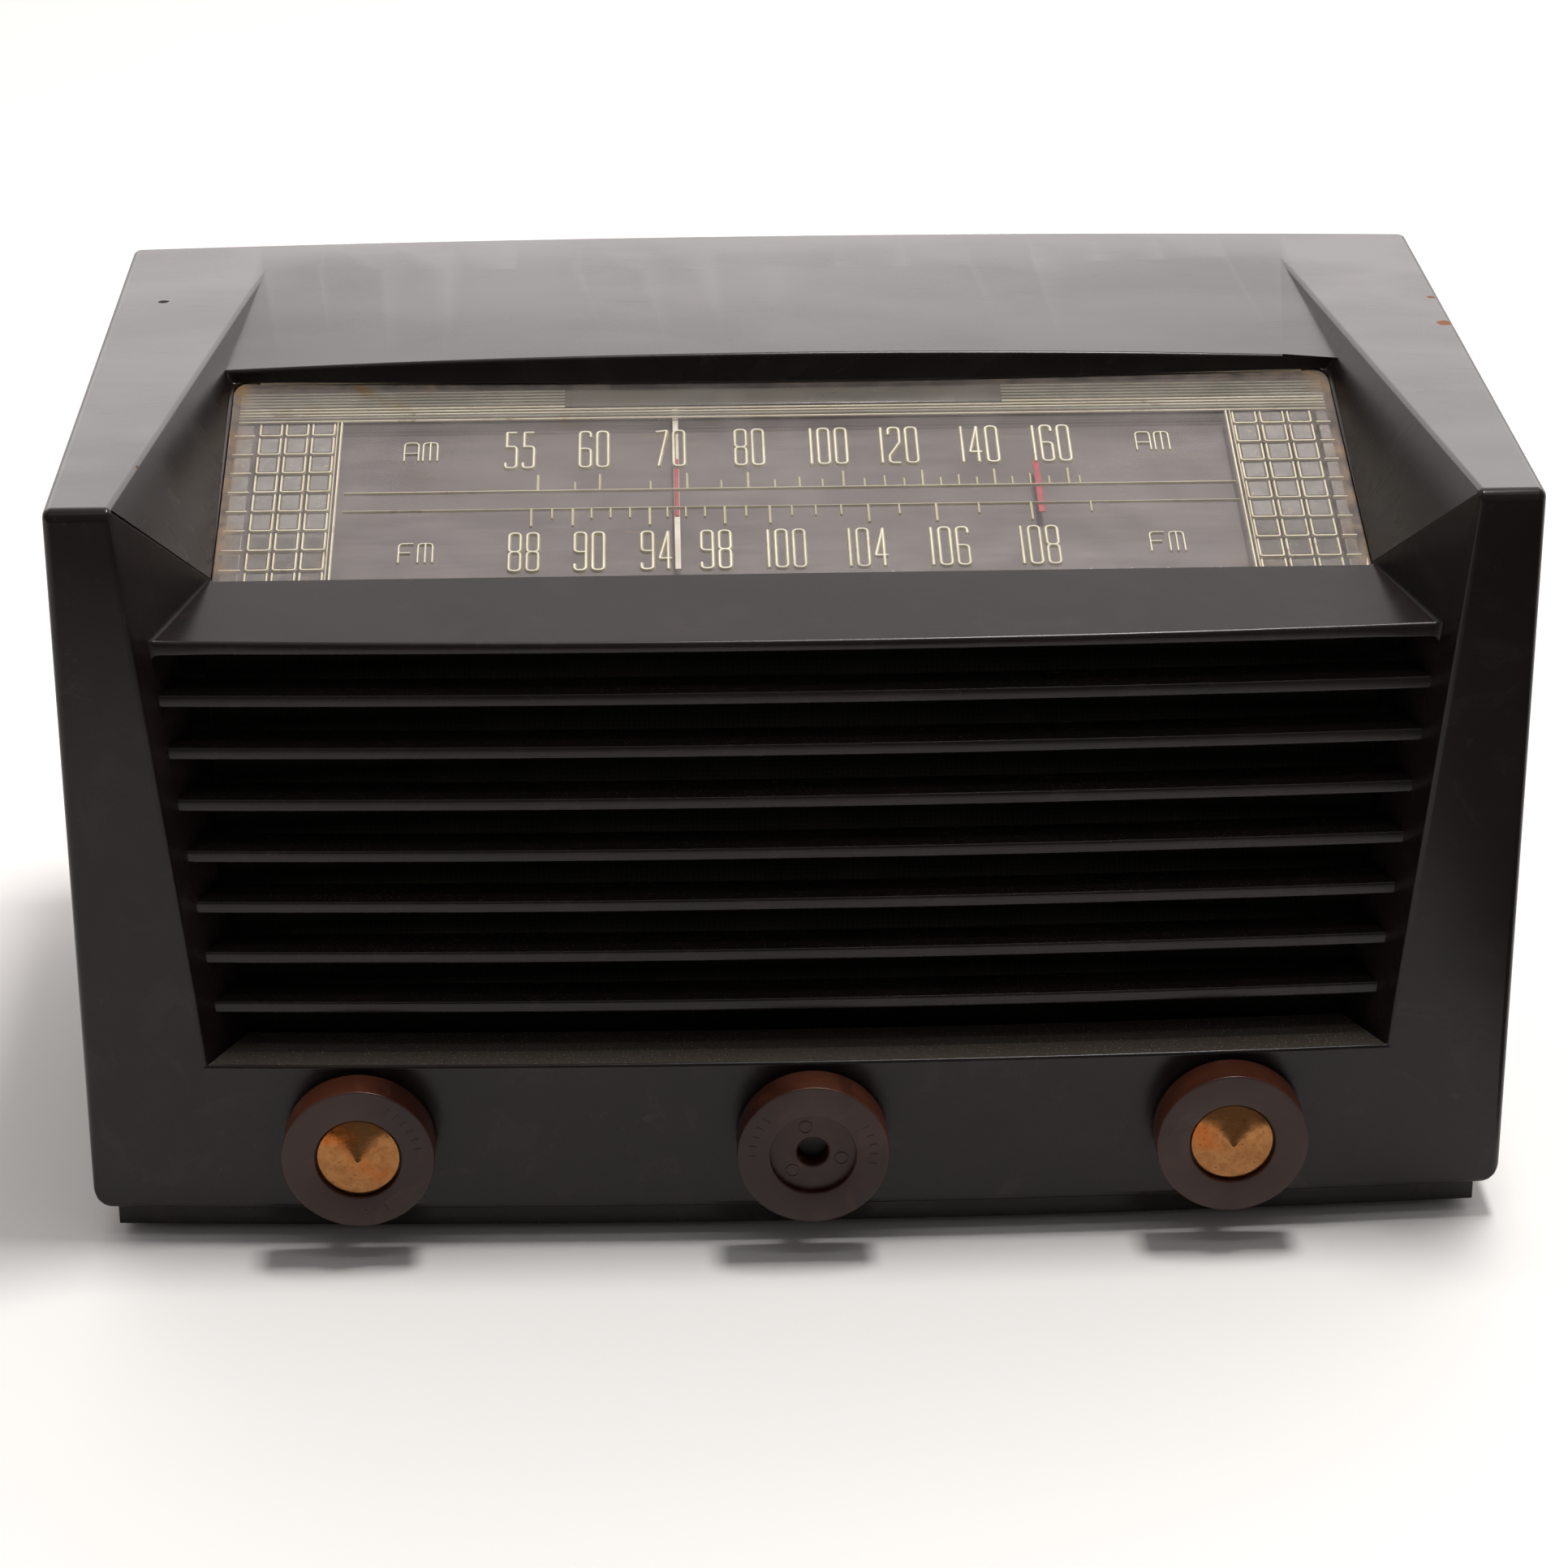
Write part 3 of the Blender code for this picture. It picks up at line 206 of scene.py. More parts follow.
def bakelite(dark, light, roughness=(0.225, 0.285), dust=True, marks=()):
    """Moulded phenolic: faint mottling, polishing smears and scuffs, dust where it lies flat low
    down, and single rough marks, each (place, radius, colour)."""
    made, tree, shader = start(IOR=1.55, Specular_IOR_Level=0.26)
    where = place(tree)
    cloud = noise(tree, where, 16, 6.0, 1.0, 0.6)
    mottle = spread(tree, noise(tree, where, 70, 5.0, 1.5), 0.52, 0.72)
    colour = blend(tree, spread(tree, cloud, 0.40, 0.68), dark, light)
    colour = blend(tree, times(tree, mottle, 0.45), colour, tuple(1.9 * c for c in light))
    scuffs = noise(tree, place(tree, (1, 4, 1)), 90, 5.0, 0.4, 0.7)
    scuffed = times(tree, spread(tree, scuffs, 0.64, 0.80), 0.25)
    colour = blend(tree, scuffed, colour, SCUFF)
    if dust:
        normal = add(tree, "NewGeometry").outputs["Normal"]
        flat = spread(tree, axis_of(tree, normal, "Z"), 0.955, 0.985)
        height = axis_of(tree, where, "Z")
        low = plus(tree, *[spread(tree, height, *level, 0.0) for level in DUST_LEVELS])
        specks = spread(tree, noise(tree, where, 1900, 2.0), 0.60, 0.72, 0.27, 1.0)
        amount = times(tree, times(tree, low, flat), specks)
        colour = blend(tree, times(tree, amount, 0.9), colour, DUST)
    pitted = 0.0
    for centre, radius, tint in marks:
        away = add(tree, "VectorMath", {0: where, 1: centre}, operation="DISTANCE")
        uneven = times(tree, noise(tree, where, 700, 3.0), radius)
        mark = spread(tree, plus(tree, away.outputs["Value"], uneven), 1.2 * radius, 1.6 * radius,
                      1.0, 0.0)
        colour = blend(tree, mark, colour, tint)
        pitted = maths(tree, "MAXIMUM", mark, pitted)
    feed(tree, shader, Base_Color=colour)
    smears = noise(tree, place(tree, (1, 2, 1)), 20, 3.0, 0.5, 0.5)
    fine_lines = noise(tree, place(tree, (1, 14, 1)), 120, 3.0, 0.2, 0.6)
    gloss = plus(tree, spread(tree, smears, 0.30, 0.70, *roughness),
                 spread(tree, fine_lines, 0.60, 0.75, 0.0, 0.05))
    if marks:
        gloss = maths(tree, "MAXIMUM", gloss, times(tree, pitted, 0.9))
    feed(tree, shader, Roughness=gloss)
    relief = plus(tree, times(tree, noise(tree, where, 9, 1.0), 0.6),
                  times(tree, noise(tree, where, 900, 3.0), 0.008))
    bump(tree, shader, relief, 0.35, 0.0012)
    return made


def clear(tint, alpha, roughness, stain, edges=None):
    """Thin clear plastic or glass: a pane that shows what is behind it and mirrors the studio.
    With edges, (half width, far Y), grime gathers along its sides and its far edge."""
    made, tree, shader = start(IOR=1.5, Roughness=roughness, Specular_IOR_Level=0.5)
    where = place(tree)
    haze = spread(tree, noise(tree, where, 14, 5.0, 1.0), 0.35, 0.75)
    colour = blend(tree, haze, tint, tuple(min(1.0, 1.15 * c) for c in tint))
    stained = spread(tree, noise(tree, where, 45, 6.0, 1.5), 0.60, 0.75)
    colour = blend(tree, stained, colour, stain)
    see = spread(tree, noise(tree, where, 30, 6.0, 0.8), 0.3, 0.7, *alpha)
    if edges:
        across, far = edges
        side = maths(tree, "ABSOLUTE", axis_of(tree, where, "X"))
        grime = plus(tree, spread(tree, side, across - 0.008, across),
                     spread(tree, axis_of(tree, where, "Y"), far - 0.006, far + 0.001))
        uneven = spread(tree, noise(tree, where, 160, 6.0, 0.6), 0.35, 0.75, 0.15, 1.0)
        grime = times(tree, grime, uneven)
        colour = blend(tree, grime, colour, stain)
        see = plus(tree, see, times(tree, grime, 0.45))
    feed(tree, shader, Base_Color=colour, Alpha=see)
    bump(tree, shader, noise(tree, where, 25, 2.0), 0.1, 0.0005)
    return made


def woven(warp, weft, pitch):
    """Cloth with threads both ways, each thread a rounded ridge."""
    made, tree, shader = start(Roughness=0.95, Specular_IOR_Level=0.1)
    where = place(tree)
    ridges = []
    for axis in ("X", "Z"):
        phase = maths(tree, "MULTIPLY", axis_of(tree, where, axis), math.pi / pitch)
        ridges.append(maths(tree, "ABSOLUTE", maths(tree, "SINE", phase)))
    colour = blend(tree, maths(tree, "GREATER_THAN", *ridges), weft, warp)
    faded = spread(tree, noise(tree, where, 60, 5.0), 0.4, 0.7, 0.0, 0.5)
    colour = blend(tree, faded, colour, (0.013, 0.012, 0.009))
    feed(tree, shader, Base_Color=colour)
    bump(tree, shader, maths(tree, "MAXIMUM", *ridges), 0.6, pitch / 2)
    return made


def brass():
    """Turned brass gone dull: brown tarnish in patches, dark specks and a fine grain."""
    made, tree, shader = start(Metallic=0.92)
    where = place(tree)
    tarnish = spread(tree, noise(tree, where, 420, 7.0, 0.4), 0.38, 0.66)
    colour = blend(tree, tarnish, (0.34, 0.155, 0.055), (0.27, 0.115, 0.038))
    patch = spread(tree, noise(tree, where, 60, 2.0), 0.56, 0.68)
    colour = blend(tree, times(tree, patch, 0.7), colour, (0.40, 0.10, 0.015))
    specks = spread(tree, noise(tree, where, 1500, 3.0), 0.60, 0.70)
    colour = blend(tree, times(tree, specks, 0.7), colour, (0.10, 0.03, 0.01))
    feed(tree, shader, Base_Color=colour)
    feed(tree, shader, Roughness=spread(tree, tarnish, 0, 1, 0.14, 0.23))
    bump(tree, shader, noise(tree, where, 1400, 3.0), 0.15, 0.0001)
    return made


# A chip and three rubbed spots: (place, radius, colour)
CABINET_MARKS = (((-0.1411, 0.0542, 0.1686), 0.0013, (0.002, 0.002, 0.002)),
                 ((0.1500, 0.0270, 0.1683), 0.0020, (0.20, 0.085, 0.04)),
                 ((0.1503, 0.0460, 0.1683), 0.0011, (0.18, 0.08, 0.04)),
                 ((-0.1352, -0.0570, 0.1690), 0.0012, (0.10, 0.05, 0.03)))
MATERIALS = {
    "bakelite": bakelite((0.0075, 0.0050, 0.0046), (0.0115, 0.0078, 0.0072), marks=CABINET_MARKS),
    "knob_face": bakelite((0.027, 0.0120, 0.0090), (0.043, 0.0205, 0.0155), (0.30, 0.44), False),
    "knob_side": bakelite((0.024, 0.0065, 0.0038), (0.075, 0.022, 0.0105), (0.26, 0.40), False),
    "clear_plastic": clear((0.40, 0.36, 0.34), (0.07, 0.15), 0.06, (0.36, 0.22, 0.10),
        (PANE_X, PANE_FAR_Y)),
    # The scale's cream, and the colour of painted highlights on the ribs and round the pads
    "cream_and_highlight_plastic": surface(((0.80, 0.74, 0.56), (0.70, 0.62, 0.44)), (0.18, 0.35), 0.02,
        stain=(0.50, 0.38, 0.22), IOR=1.5),
    "rib_plastic": surface(((0.34, 0.33, 0.25), (0.24, 0.23, 0.17)), (0.10, 0.22), 0.015, IOR=1.5,
        Coat_Weight=0.6, Coat_Roughness=0.06),
    "mark_plastic": surface(((0.50, 0.45, 0.30), (0.40, 0.355, 0.23)), (0.25, 0.45), 0.02,
        stain=(0.30, 0.26, 0.16)),
    # Painted highlight: the bright lines along the middles of the numbers and letters
    "painted_highlight_white": surface(((1.0, 0.97, 0.84), (0.80, 0.76, 0.62)), (0.2, 0.4), 0.02, IOR=1.5),
    "pad_plastic": surface(((0.235, 0.215, 0.195), (0.170, 0.155, 0.145)), (0.12, 0.30), 0.006,
        stain=(0.42, 0.28, 0.13), IOR=1.5, Coat_Weight=0.5, Coat_Roughness=0.08),
    "strip_plastic": surface(((0.090, 0.083, 0.062), (0.070, 0.064, 0.050)), (0.15, 0.30), 0.03,
        IOR=1.5),
    "taupe_paint": surface(((0.150, 0.128, 0.128), (0.118, 0.100, 0.100)), (0.45, 0.65), 0.03,
        (1, 6, 1), stain=(0.17, 0.135, 0.105)),
    "cream_paint": surface(((0.80, 0.75, 0.66), (0.66, 0.58, 0.46)), (0.3, 0.5), 0.008),
    "red_paint": surface(((0.48, 0.035, 0.06), (0.32, 0.02, 0.04)), (0.4, 0.6), 0.004),
    "brass": brass(),
    "steel": surface(((0.55, 0.55, 0.53), (0.40, 0.39, 0.37)), (0.25, 0.45), 0.01,
        stain=(0.20, 0.12, 0.07), Metallic=1.0),
    "dark_steel": surface(((0.020, 0.019, 0.018), (0.030, 0.026, 0.023)), (0.45, 0.65), 0.006,
        stain=(0.05, 0.03, 0.02), Metallic=0.6),
    "plated_steel": surface(((0.46, 0.44, 0.39), (0.36, 0.34, 0.29)), (0.35, 0.6), 0.02,
        stain=(0.17, 0.10, 0.05), Metallic=0.9),
    "aluminium": surface(((0.70, 0.70, 0.70), (0.56, 0.56, 0.57)), (0.3, 0.5), 0.012, (1, 1, 6),
        stain=(0.42, 0.42, 0.41), Metallic=1.0),
    "phenolic": surface(((0.16, 0.075, 0.032), (0.11, 0.048, 0.02)), (0.4, 0.6), 0.01,
        stain=(0.22, 0.12, 0.06)),
    "glass": clear((0.72, 0.74, 0.72), (0.16, 0.30), 0.03, (0.25, 0.24, 0.23)),
    "paper": surface(((0.055, 0.050, 0.045), (0.035, 0.032, 0.028)), (0.85, 0.95), 0.01,
        grain=(0.5, 0.0006, 1200)),
    # Near black: the cloth's own dark tone, darkened further as painted shade deep behind the louvres
    "cloth": woven((0.0085, 0.0080, 0.0062), (0.0050, 0.0048, 0.0038), 0.0011),
    "fibreboard": surface(((0.165, 0.098, 0.052), (0.140, 0.082, 0.043)), (0.7, 0.9), 0.004,
        (1, 1, 0.5), stain=(0.115, 0.066, 0.036), grain=(0.5, 0.0005, 1600)),
    # Near black; on the baffle's side strips it is painted shade
    "blackened_board": surface(((0.010, 0.009, 0.0075), (0.006, 0.0055, 0.005)), (0.85, 0.95), 0.01,
        Specular_IOR_Level=0.1),
    "copper": surface(((0.55, 0.24, 0.11), (0.38, 0.15, 0.07)), (0.3, 0.5), 0.008,
        stain=(0.14, 0.08, 0.05), Metallic=1.0),
    "rubber": surface(((0.024, 0.023, 0.022), (0.04, 0.038, 0.035)), (0.7, 0.9), 0.004),
    "cord": surface(((0.32, 0.26, 0.17), (0.22, 0.17, 0.11)), (0.8, 0.95), 0.002,
        grain=(0.6, 0.0002, 5000)),
}
for label, material in MATERIALS.items():
    material.name = label


# ---- shapes

def mesh_of(bm):
    bmesh.ops.recalc_face_normals(bm, faces=bm.faces)
    mesh = bpy.data.meshes.new("shape")
    bm.to_mesh(mesh)
    bm.free()
    return mesh


def smooth(mesh, angle):
    """Smooth faces, with an edge kept sharp where its two faces meet at more than the angle."""
    bm = bmesh.new()
    bm.from_mesh(mesh)
    for face in bm.faces:
        face.smooth = True
    for edge in bm.edges:
        edge.smooth = len(edge.link_faces) == 2 and edge.calc_face_angle(0.0) < angle
    bm.to_mesh(mesh)
    bm.free()


def shown(name, data):
    obj = bpy.data.objects.new(name, data)
    bpy.context.scene.collection.objects.link(obj)
    return obj


def eased(bm, edges, offset, segments=2, **more):
    bmesh.ops.bevel(bm, geom=edges, offset=offset, segments=segments, profile=0.5,
                    affect="EDGES", **more)


def combined(mesh, cut=(), join=(), solver="EXACT"):
    """The mesh after some others are cut from it, and then some joined to it."""
    target = shown("target", mesh)
    others = []
    for operation, meshes in (("DIFFERENCE", cut), ("UNION", join)):
        for other in meshes:
            others.append(shown("other", other))
            modifier = target.modifiers.new("step", "BOOLEAN")
            modifier.operation, modifier.object, modifier.solver = operation, others[-1], solver
    return applied(target, *others)


def applied(obj, *others):
    """The object's mesh after its modifiers. The object and the others are then removed."""
    graph = bpy.context.evaluated_depsgraph_get()
    made = bpy.data.meshes.new_from_object(obj.evaluated_get(graph))
    for used in (obj, *others):
        bpy.data.objects.remove(used)
    return made


def piece(name, mesh, material, body="root", replaces=(), matrix=IDENTITY, sharp=33,
          weighted=False):
    """A shown piece from a mesh in the cabinet's frame, or in that of `matrix` inside it."""
    mesh.transform(BASE @ matrix)
    smooth(mesh, math.radians(sharp))
    mesh.materials.clear()
    mesh.materials.append(MATERIALS[material])
    mesh.name = name
    obj = shown(name, mesh)
    if weighted:
        obj.modifiers.new("normals", "WEIGHTED_NORMAL").keep_sharp = True
    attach(obj, body)
    if replaces:
        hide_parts(*replaces)
    return obj


def loft(bm, rings):
    """A closed skin over a row of rings, each of the same number of points."""
    rows = [[bm.verts.new(point) for point in ring] for ring in rings]
    for near, far in zip(rows, rows[1:]):
        for index in range(len(near)):
            following = (index + 1) % len(near)
            bm.faces.new((near[index], near[following], far[following], far[index]))
    bm.faces.new(rows[0])
    bm.faces.new(rows[-1])


def add_box(bm, x, y, z):
    spans = (x, y, z)
    matrix = Matrix.Translation([(low + high) / 2 for low, high in spans])
    size = Matrix.Diagonal((*[high - low for low, high in spans], 1.0))
    return bmesh.ops.create_cube(bm, size=1.0, matrix=matrix @ size)["verts"]


def boxes(*spans, bevel=0.0):
    bm = bmesh.new()
    for x, y, z in spans:
        add_box(bm, x, y, z)
    if bevel:
        eased(bm, bm.edges[:], bevel)
    return mesh_of(bm)


def add_rod(bm, near, far, radius, segments):
    near, far = Vector(near), Vector(far)
    turn = Vector((0, 0, 1)).rotation_difference(far - near).to_matrix().to_4x4()
    bmesh.ops.create_cone(bm, cap_ends=True, segments=segments, radius1=radius, radius2=radius,
                          depth=(far - near).length, matrix=Matrix.Translation((near + far) / 2) @ turn)


def rods(*ends, radius, segments=24):
    bm = bmesh.new()
    for near, far in ends:
        add_rod(bm, near, far, radius, segments)
    return mesh_of(bm)


def around(centre, radius, angle):
    """The point of a circle that lies at an angle in degrees."""
    return (centre[0] + radius * math.cos(math.radians(angle)),
            centre[1] + radius * math.sin(math.radians(angle)))


def arc(centre, radius, first, last, steps):
    """Points along an arc, from one angle in degrees to another."""
    return [around(centre, radius, first + (last - first) * step / steps) for step in range(steps + 1)]


def turned(profile, segments):
    """Spins (radius, distance) points about Z. Points on the axis close the shape there."""
    bm = bmesh.new()
    rings = []
    for radius, along in profile:
        count = segments if radius > 0 else 1
        rings.append([bm.verts.new((*around((0, 0), radius, 360 * step / segments), along))
                      for step in range(count)])
    closed = profile[0][0] > 0
    for near, far in zip(rings, rings[1:] + (rings[:1] if closed else [])):
        for step in range(segments):
            following = (step + 1) % segments
            corners = [near[step % len(near)], near[following % len(near)],
                       far[following % len(far)], far[step % len(far)]]
            distinct = list(dict.fromkeys(corners))
            if len(distinct) > 2:
                bm.faces.new(distinct)
    return mesh_of(bm)


def prism(outline, low, high, matrix=IDENTITY, bevel=0.0):
    """A plate with an outline of (x, y) points, from z = low to z = high."""
    bm = bmesh.new()
    loft(bm, [[(x, y, z) for x, y in outline] for z in (low, high)])
    if bevel:
        rims = [edge for edge in bm.edges if abs(edge.verts[0].co.z - edge.verts[1].co.z) < 1e-9]
        eased(bm, rims, bevel)
    bmesh.ops.transform(bm, matrix=matrix, verts=bm.verts)
    return mesh_of(bm)


def joined(*meshes):
    bm = bmesh.new()
    for mesh in meshes:
        bm.from_mesh(mesh)
    return mesh_of(bm)


# ---- cabinet

def front_y(x):
    return -BOW * (1 - (x / (WIDTH / 2)) ** 2)


def top_z(x):
    return HEIGHT + CROWN * (1 - (x / (WIDTH / 2)) ** 2)


def dial_z(y):
    return DIAL_FOOT_Z + (y - DIAL_FOOT_Y) * math.tan(DIAL_SLOPE)


def shelf_z(y):
    return DIAL_FOOT_Z + (y - DIAL_FOOT_Y) * math.tan(SHELF_SLOPE)


def sides():
    """Stations across the cabinet, from -1 at its left to 1 at its right."""
    return [2 * step / STATIONS - 1 for step in range(STATIONS + 1)]


def bowed_block(half_width, front_gap, back, bottom, top):
    """A bmesh of a block whose front is bowed and whose top follows a function of x."""
    bm = bmesh.new()
    loft(bm, [[(x, front_y(x) + front_gap, bottom), (x, back, bottom), (x, back, top(x)),
               (x, front_y(x) + front_gap, top(x))] for x in [half_width * side for side in sides()]])
    return bm


def flank(points, wall):
    """How far out the plane through three points lies, moved out by a wall, at a given y and z."""
    first, second, third = points
    normal = (second - first).cross(third - first).normalized()
    if normal.x < 0:
        normal.negate()
    level = normal.dot(first) + wall
    return lambda y, z: (level - normal.y * y - normal.z * z) / normal.x


def upper_flank(wall=0.0):
    return flank((CHEEK_TOP, CREASE_REAR, CREASE_FOOT), wall)


def lower_flank(wall=0.0):
    return flank((CHEEK_TOP, CHEEK_FOOT, CREASE_FOOT), wall)


def nose_y(side):
    return front_y(side * CHEEK_FOOT.x) + NOSE_SETBACK


def outside(side):
    """A y in front of the block and a z above it, for the cutters to start from."""
    reach = 0.03
    return front_y(side * CHEEK_FOOT.x) - reach, HEIGHT + reach


def upper_profile(side, wall):
    """What is cut from the dial up: the dial's slope, the step under the brow, the top's panel."""
    middle = 1 - side ** 2
    before, above = outside(side)
    drop, beyond, mouth_rise = wall / math.cos(DIAL_SLOPE), 0.02, 0.01
    brow_y, brow_z = BROW_Y - BROW_BOW * middle, BROW_Z + BROW_RISE * middle
    rear_z = HEIGHT + CROWN * middle
    rise = (rear_z - brow_z) / (PANEL_REAR_Y - brow_y)
    return [(PANEL_REAR_Y + beyond, rear_z + beyond * rise - wall), (brow_y + wall, brow_z - wall),
            (brow_y + wall, dial_z(brow_y + wall) - drop), (DIAL_FOOT_Y, DIAL_FOOT_Z - drop),
            (before, DIAL_FOOT_Z - drop + mouth_rise), (before, above), (PANEL_REAR_Y + beyond, above)]


def lower_profile(side, wall):
    """What is cut below the dial: the shelf, the lip's nose, and the opening for the louvres."""
    nose = nose_y(side) + (SLAT_DEPTH if wall else 0)
    before, above = outside(side)
    # A hair lower than the upper cutter, and lapping over it, so that no two faces coincide
    drop, lap, lean = wall / math.cos(DIAL_SLOPE) + 0.00002, 0.001, 0.03
    outline = [(DIAL_FOOT_Y + lap + lean, above), (DIAL_FOOT_Y + lap, dial_z(DIAL_FOOT_Y + lap) - drop),
               (nose, shelf_z(nose) - drop)]
    if wall:
        outline.append((nose, SILL_Z - wall))
    else:
        outline += [(nose, LIP_BOTTOM_Z), (GRILLE_BACK_Y, LIP_BOTTOM_Z), (GRILLE_BACK_Y, SILL_Z)]
    return outline + [(before, SILL_Z - wall), (before, above)]


def recess(profile, x_at, wall=0.0):
    """A cutter with the profile, as wide at each point as its flanks allow."""
    bm = bmesh.new()
    loft(bm, [[(side * x_at(y, z), y, z) for y, z in profile(abs(side), wall)] for side in sides()])
    bmesh.ops.triangulate(bm, faces=[face for face in bm.faces if len(face.verts) == 4])
    return mesh_of(bm)


def recesses(wall=0.0):
    return (recess(upper_profile, upper_flank(wall), wall),
            recess(lower_profile, lower_flank(wall), wall))


def outer_body():
    """The cabinet without its hollow: a rounded block, less the recess, with its edges eased."""
    bm = bowed_block(WIDTH / 2, 0.0, DEPTH, 0.0, top_z)
    bmesh.ops.recalc_face_normals(bm, faces=bm.faces)
    weights = bm.edges.layers.float.new("bevel_weight_edge")
    for edge in bm.edges:
        if edge.calc_face_angle(0.0) < math.radians(40):
            continue
        ends = [vert.co for vert in edge.verts]
        low_side = max(end.z for end in ends) < 0.001 and abs(ends[0].y - ends[1].y) > DEPTH / 2
        front_top = max(end.y for end in ends) < 0.001 and min(end.z for end in ends) > 0.15
        radius = SIDE_ROUND if low_side else TOP_ROUND if front_top else OTHER_ROUND
        edge[weights] = radius / SIDE_ROUND
    block = shown("block", mesh_of(bm))
    bevel = block.modifiers.new("edges", "BEVEL")
    bevel.width, bevel.segments, bevel.limit_method = SIDE_ROUND, 4, "WEIGHT"
    bevel.use_clamp_overlap = False
    cut = combined(applied(block), recesses())
    bm = bmesh.new()
    bm.from_mesh(cut)
    bmesh.ops.remove_doubles(bm, verts=bm.verts, dist=2e-5)
    bmesh.ops.dissolve_degenerate(bm, edges=bm.edges, dist=1e-5)
    # The sharp edges of the cuts, apart from inner corners behind the brow and those under the pane
    soft = []
    for edge in bm.edges:
        ends = [vert.co for vert in edge.verts]
        if len(edge.link_faces) != 2 or edge.calc_face_angle(0.0) < math.radians(27):
            continue
        behind_brow = max(end.y for end in ends) > 0.105 and not edge.is_convex
        under_pane = all(abs(end.z - dial_z(end.y)) < 0.0003 and 0.0275 < end.y < 0.0300
                         for end in ends)
        if not (behind_brow or under_pane) and max(abs(end.x) for end in ends) < 0.1400:
            soft.append(edge)
    eased(bm, soft, CUT_EASE, segments=3, clamp_overlap=False, loop_slide=True)
    return mesh_of(bm)


def louvres():
    """Seven slats with eased noses, each bowed with the front and let into the flanks."""
    half, ease, let_in = LOUVRE_THICK / 2, LOUVRE_EASE, 0.0012
    outline = ([(SLAT_DEPTH, half)] + arc((ease, half - ease), ease, 90, 180, 4)
               + arc((ease, ease - half), ease, 180, 270, 4) + [(SLAT_DEPTH, -half)])
    x_at = lower_flank(let_in)
    bm = bmesh.new()
    for index in range(LOUVRES):
        z = LOUVRE_TOP_Z - index * LOUVRE_PITCH
        loft(bm, [[(side * x_at(nose_y(side) + y, z + dz), nose_y(side) + y, z + dz)
                   for y, dz in outline] for side in sides()])
    return mesh_of(bm)


def window_outline(grow):
    """The pane's outline, or one that is larger all round by `grow`."""
    x, (low, high) = PANE_X + grow, PANE_T
    round_top, round_foot = 0.0042, 0.0010
    return (arc((x - round_top, high + grow - round_top), round_top, 0, 90, 8)
            + arc((round_top - x, high + grow - round_top), round_top, 90, 180, 8)
            + arc((round_foot - x, low - grow + round_foot), round_foot, 180, 270, 3)
            + arc((x - round_foot, low - grow + round_foot), round_foot, 270, 360, 3))


def hollow():
    """The room inside the cabinet, open at the back."""
    inside = mesh_of(bowed_block(WIDTH / 2 - WALL, WALL, DEPTH + 0.01, WALL, lambda x: top_z(x) - WALL))
    return combined(inside, recesses(WALL))


def plinth():
    """The set-back rim under the cabinet, with a boss for each foot."""
    inner_inset = PLINTH_INSET + PLINTH_WALL
    outer = mesh_of(bowed_block(WIDTH / 2 - PLINTH_INSET, PLINTH_INSET, DEPTH - PLINTH_INSET,
                                -PLINTH_DROP, lambda x: 0.001))
    inner = mesh_of(bowed_block(WIDTH / 2 - inner_inset, inner_inset, DEPTH - inner_inset, -0.01,
                                lambda x: 0.01))
    bosses = rods(*[((x, y, -PLINTH_DROP), (x, y, 0.001)) for x in (-FOOT_X, FOOT_X)
                    for y in FOOT_YS], radius=BOSS_RADIUS, segments=32)
    return combined(outer, [inner], [bosses])


def cabinet():
    window = prism(window_outline(0.0002), -0.012, 0.0003, DIAL)
    holes = rods(*[((x, -0.02, KNOB_Z), (x, 0.01, KNOB_Z)) for x in KNOB_X.values()], radius=SHAFT_HOLE)
    vents = boxes(*[((x - 0.012, x + 0.012), (y - 0.0025, y + 0.0025), (-0.01, 0.01))
                    for x in VENT_XS for y in VENT_YS])
    posts = rods(*[((x, 0.15, z), (x, 0.175, z)) for x in (-POST_X, POST_X) for z in POST_ZS],
                 radius=POST_RADIUS)
    body = combined(outer_body(), (hollow(), window, holes, vents), (plinth(), posts), "MANIFOLD")
    piece("cabinet", body, "bakelite", replaces=["cabinet_shell"], weighted=True)
    piece("louvres", louvres(), "bakelite")


# ---- dial

def rounded(points, radius, steps=5):
    """A row of 2-D points with its corners turned into arcs of up to the radius. A row that ends
    where it starts is closed."""
    closed = points[0] == points[-1]
    points = [Vector(point) for point in (points[:-1] if closed else points)]
    count = len(points)
    made = []
    for index, corner in enumerate(points):
        if not closed and index in (0, count - 1):
            made.append(corner)
            continue
        before, after = points[index - 1] - corner, points[(index + 1) % count] - corner
        half = before.angle(after) / 2
        reach = min(radius / math.tan(half), before.length * 0.499, after.length * 0.499)
        first, last = corner + before.normalized() * reach, corner + after.normalized() * reach
        for step in range(steps + 1):
            share = step / steps
            made.append(first.lerp(corner, share).lerp(corner.lerp(last, share), share))
    return made + made[:1] if closed else made


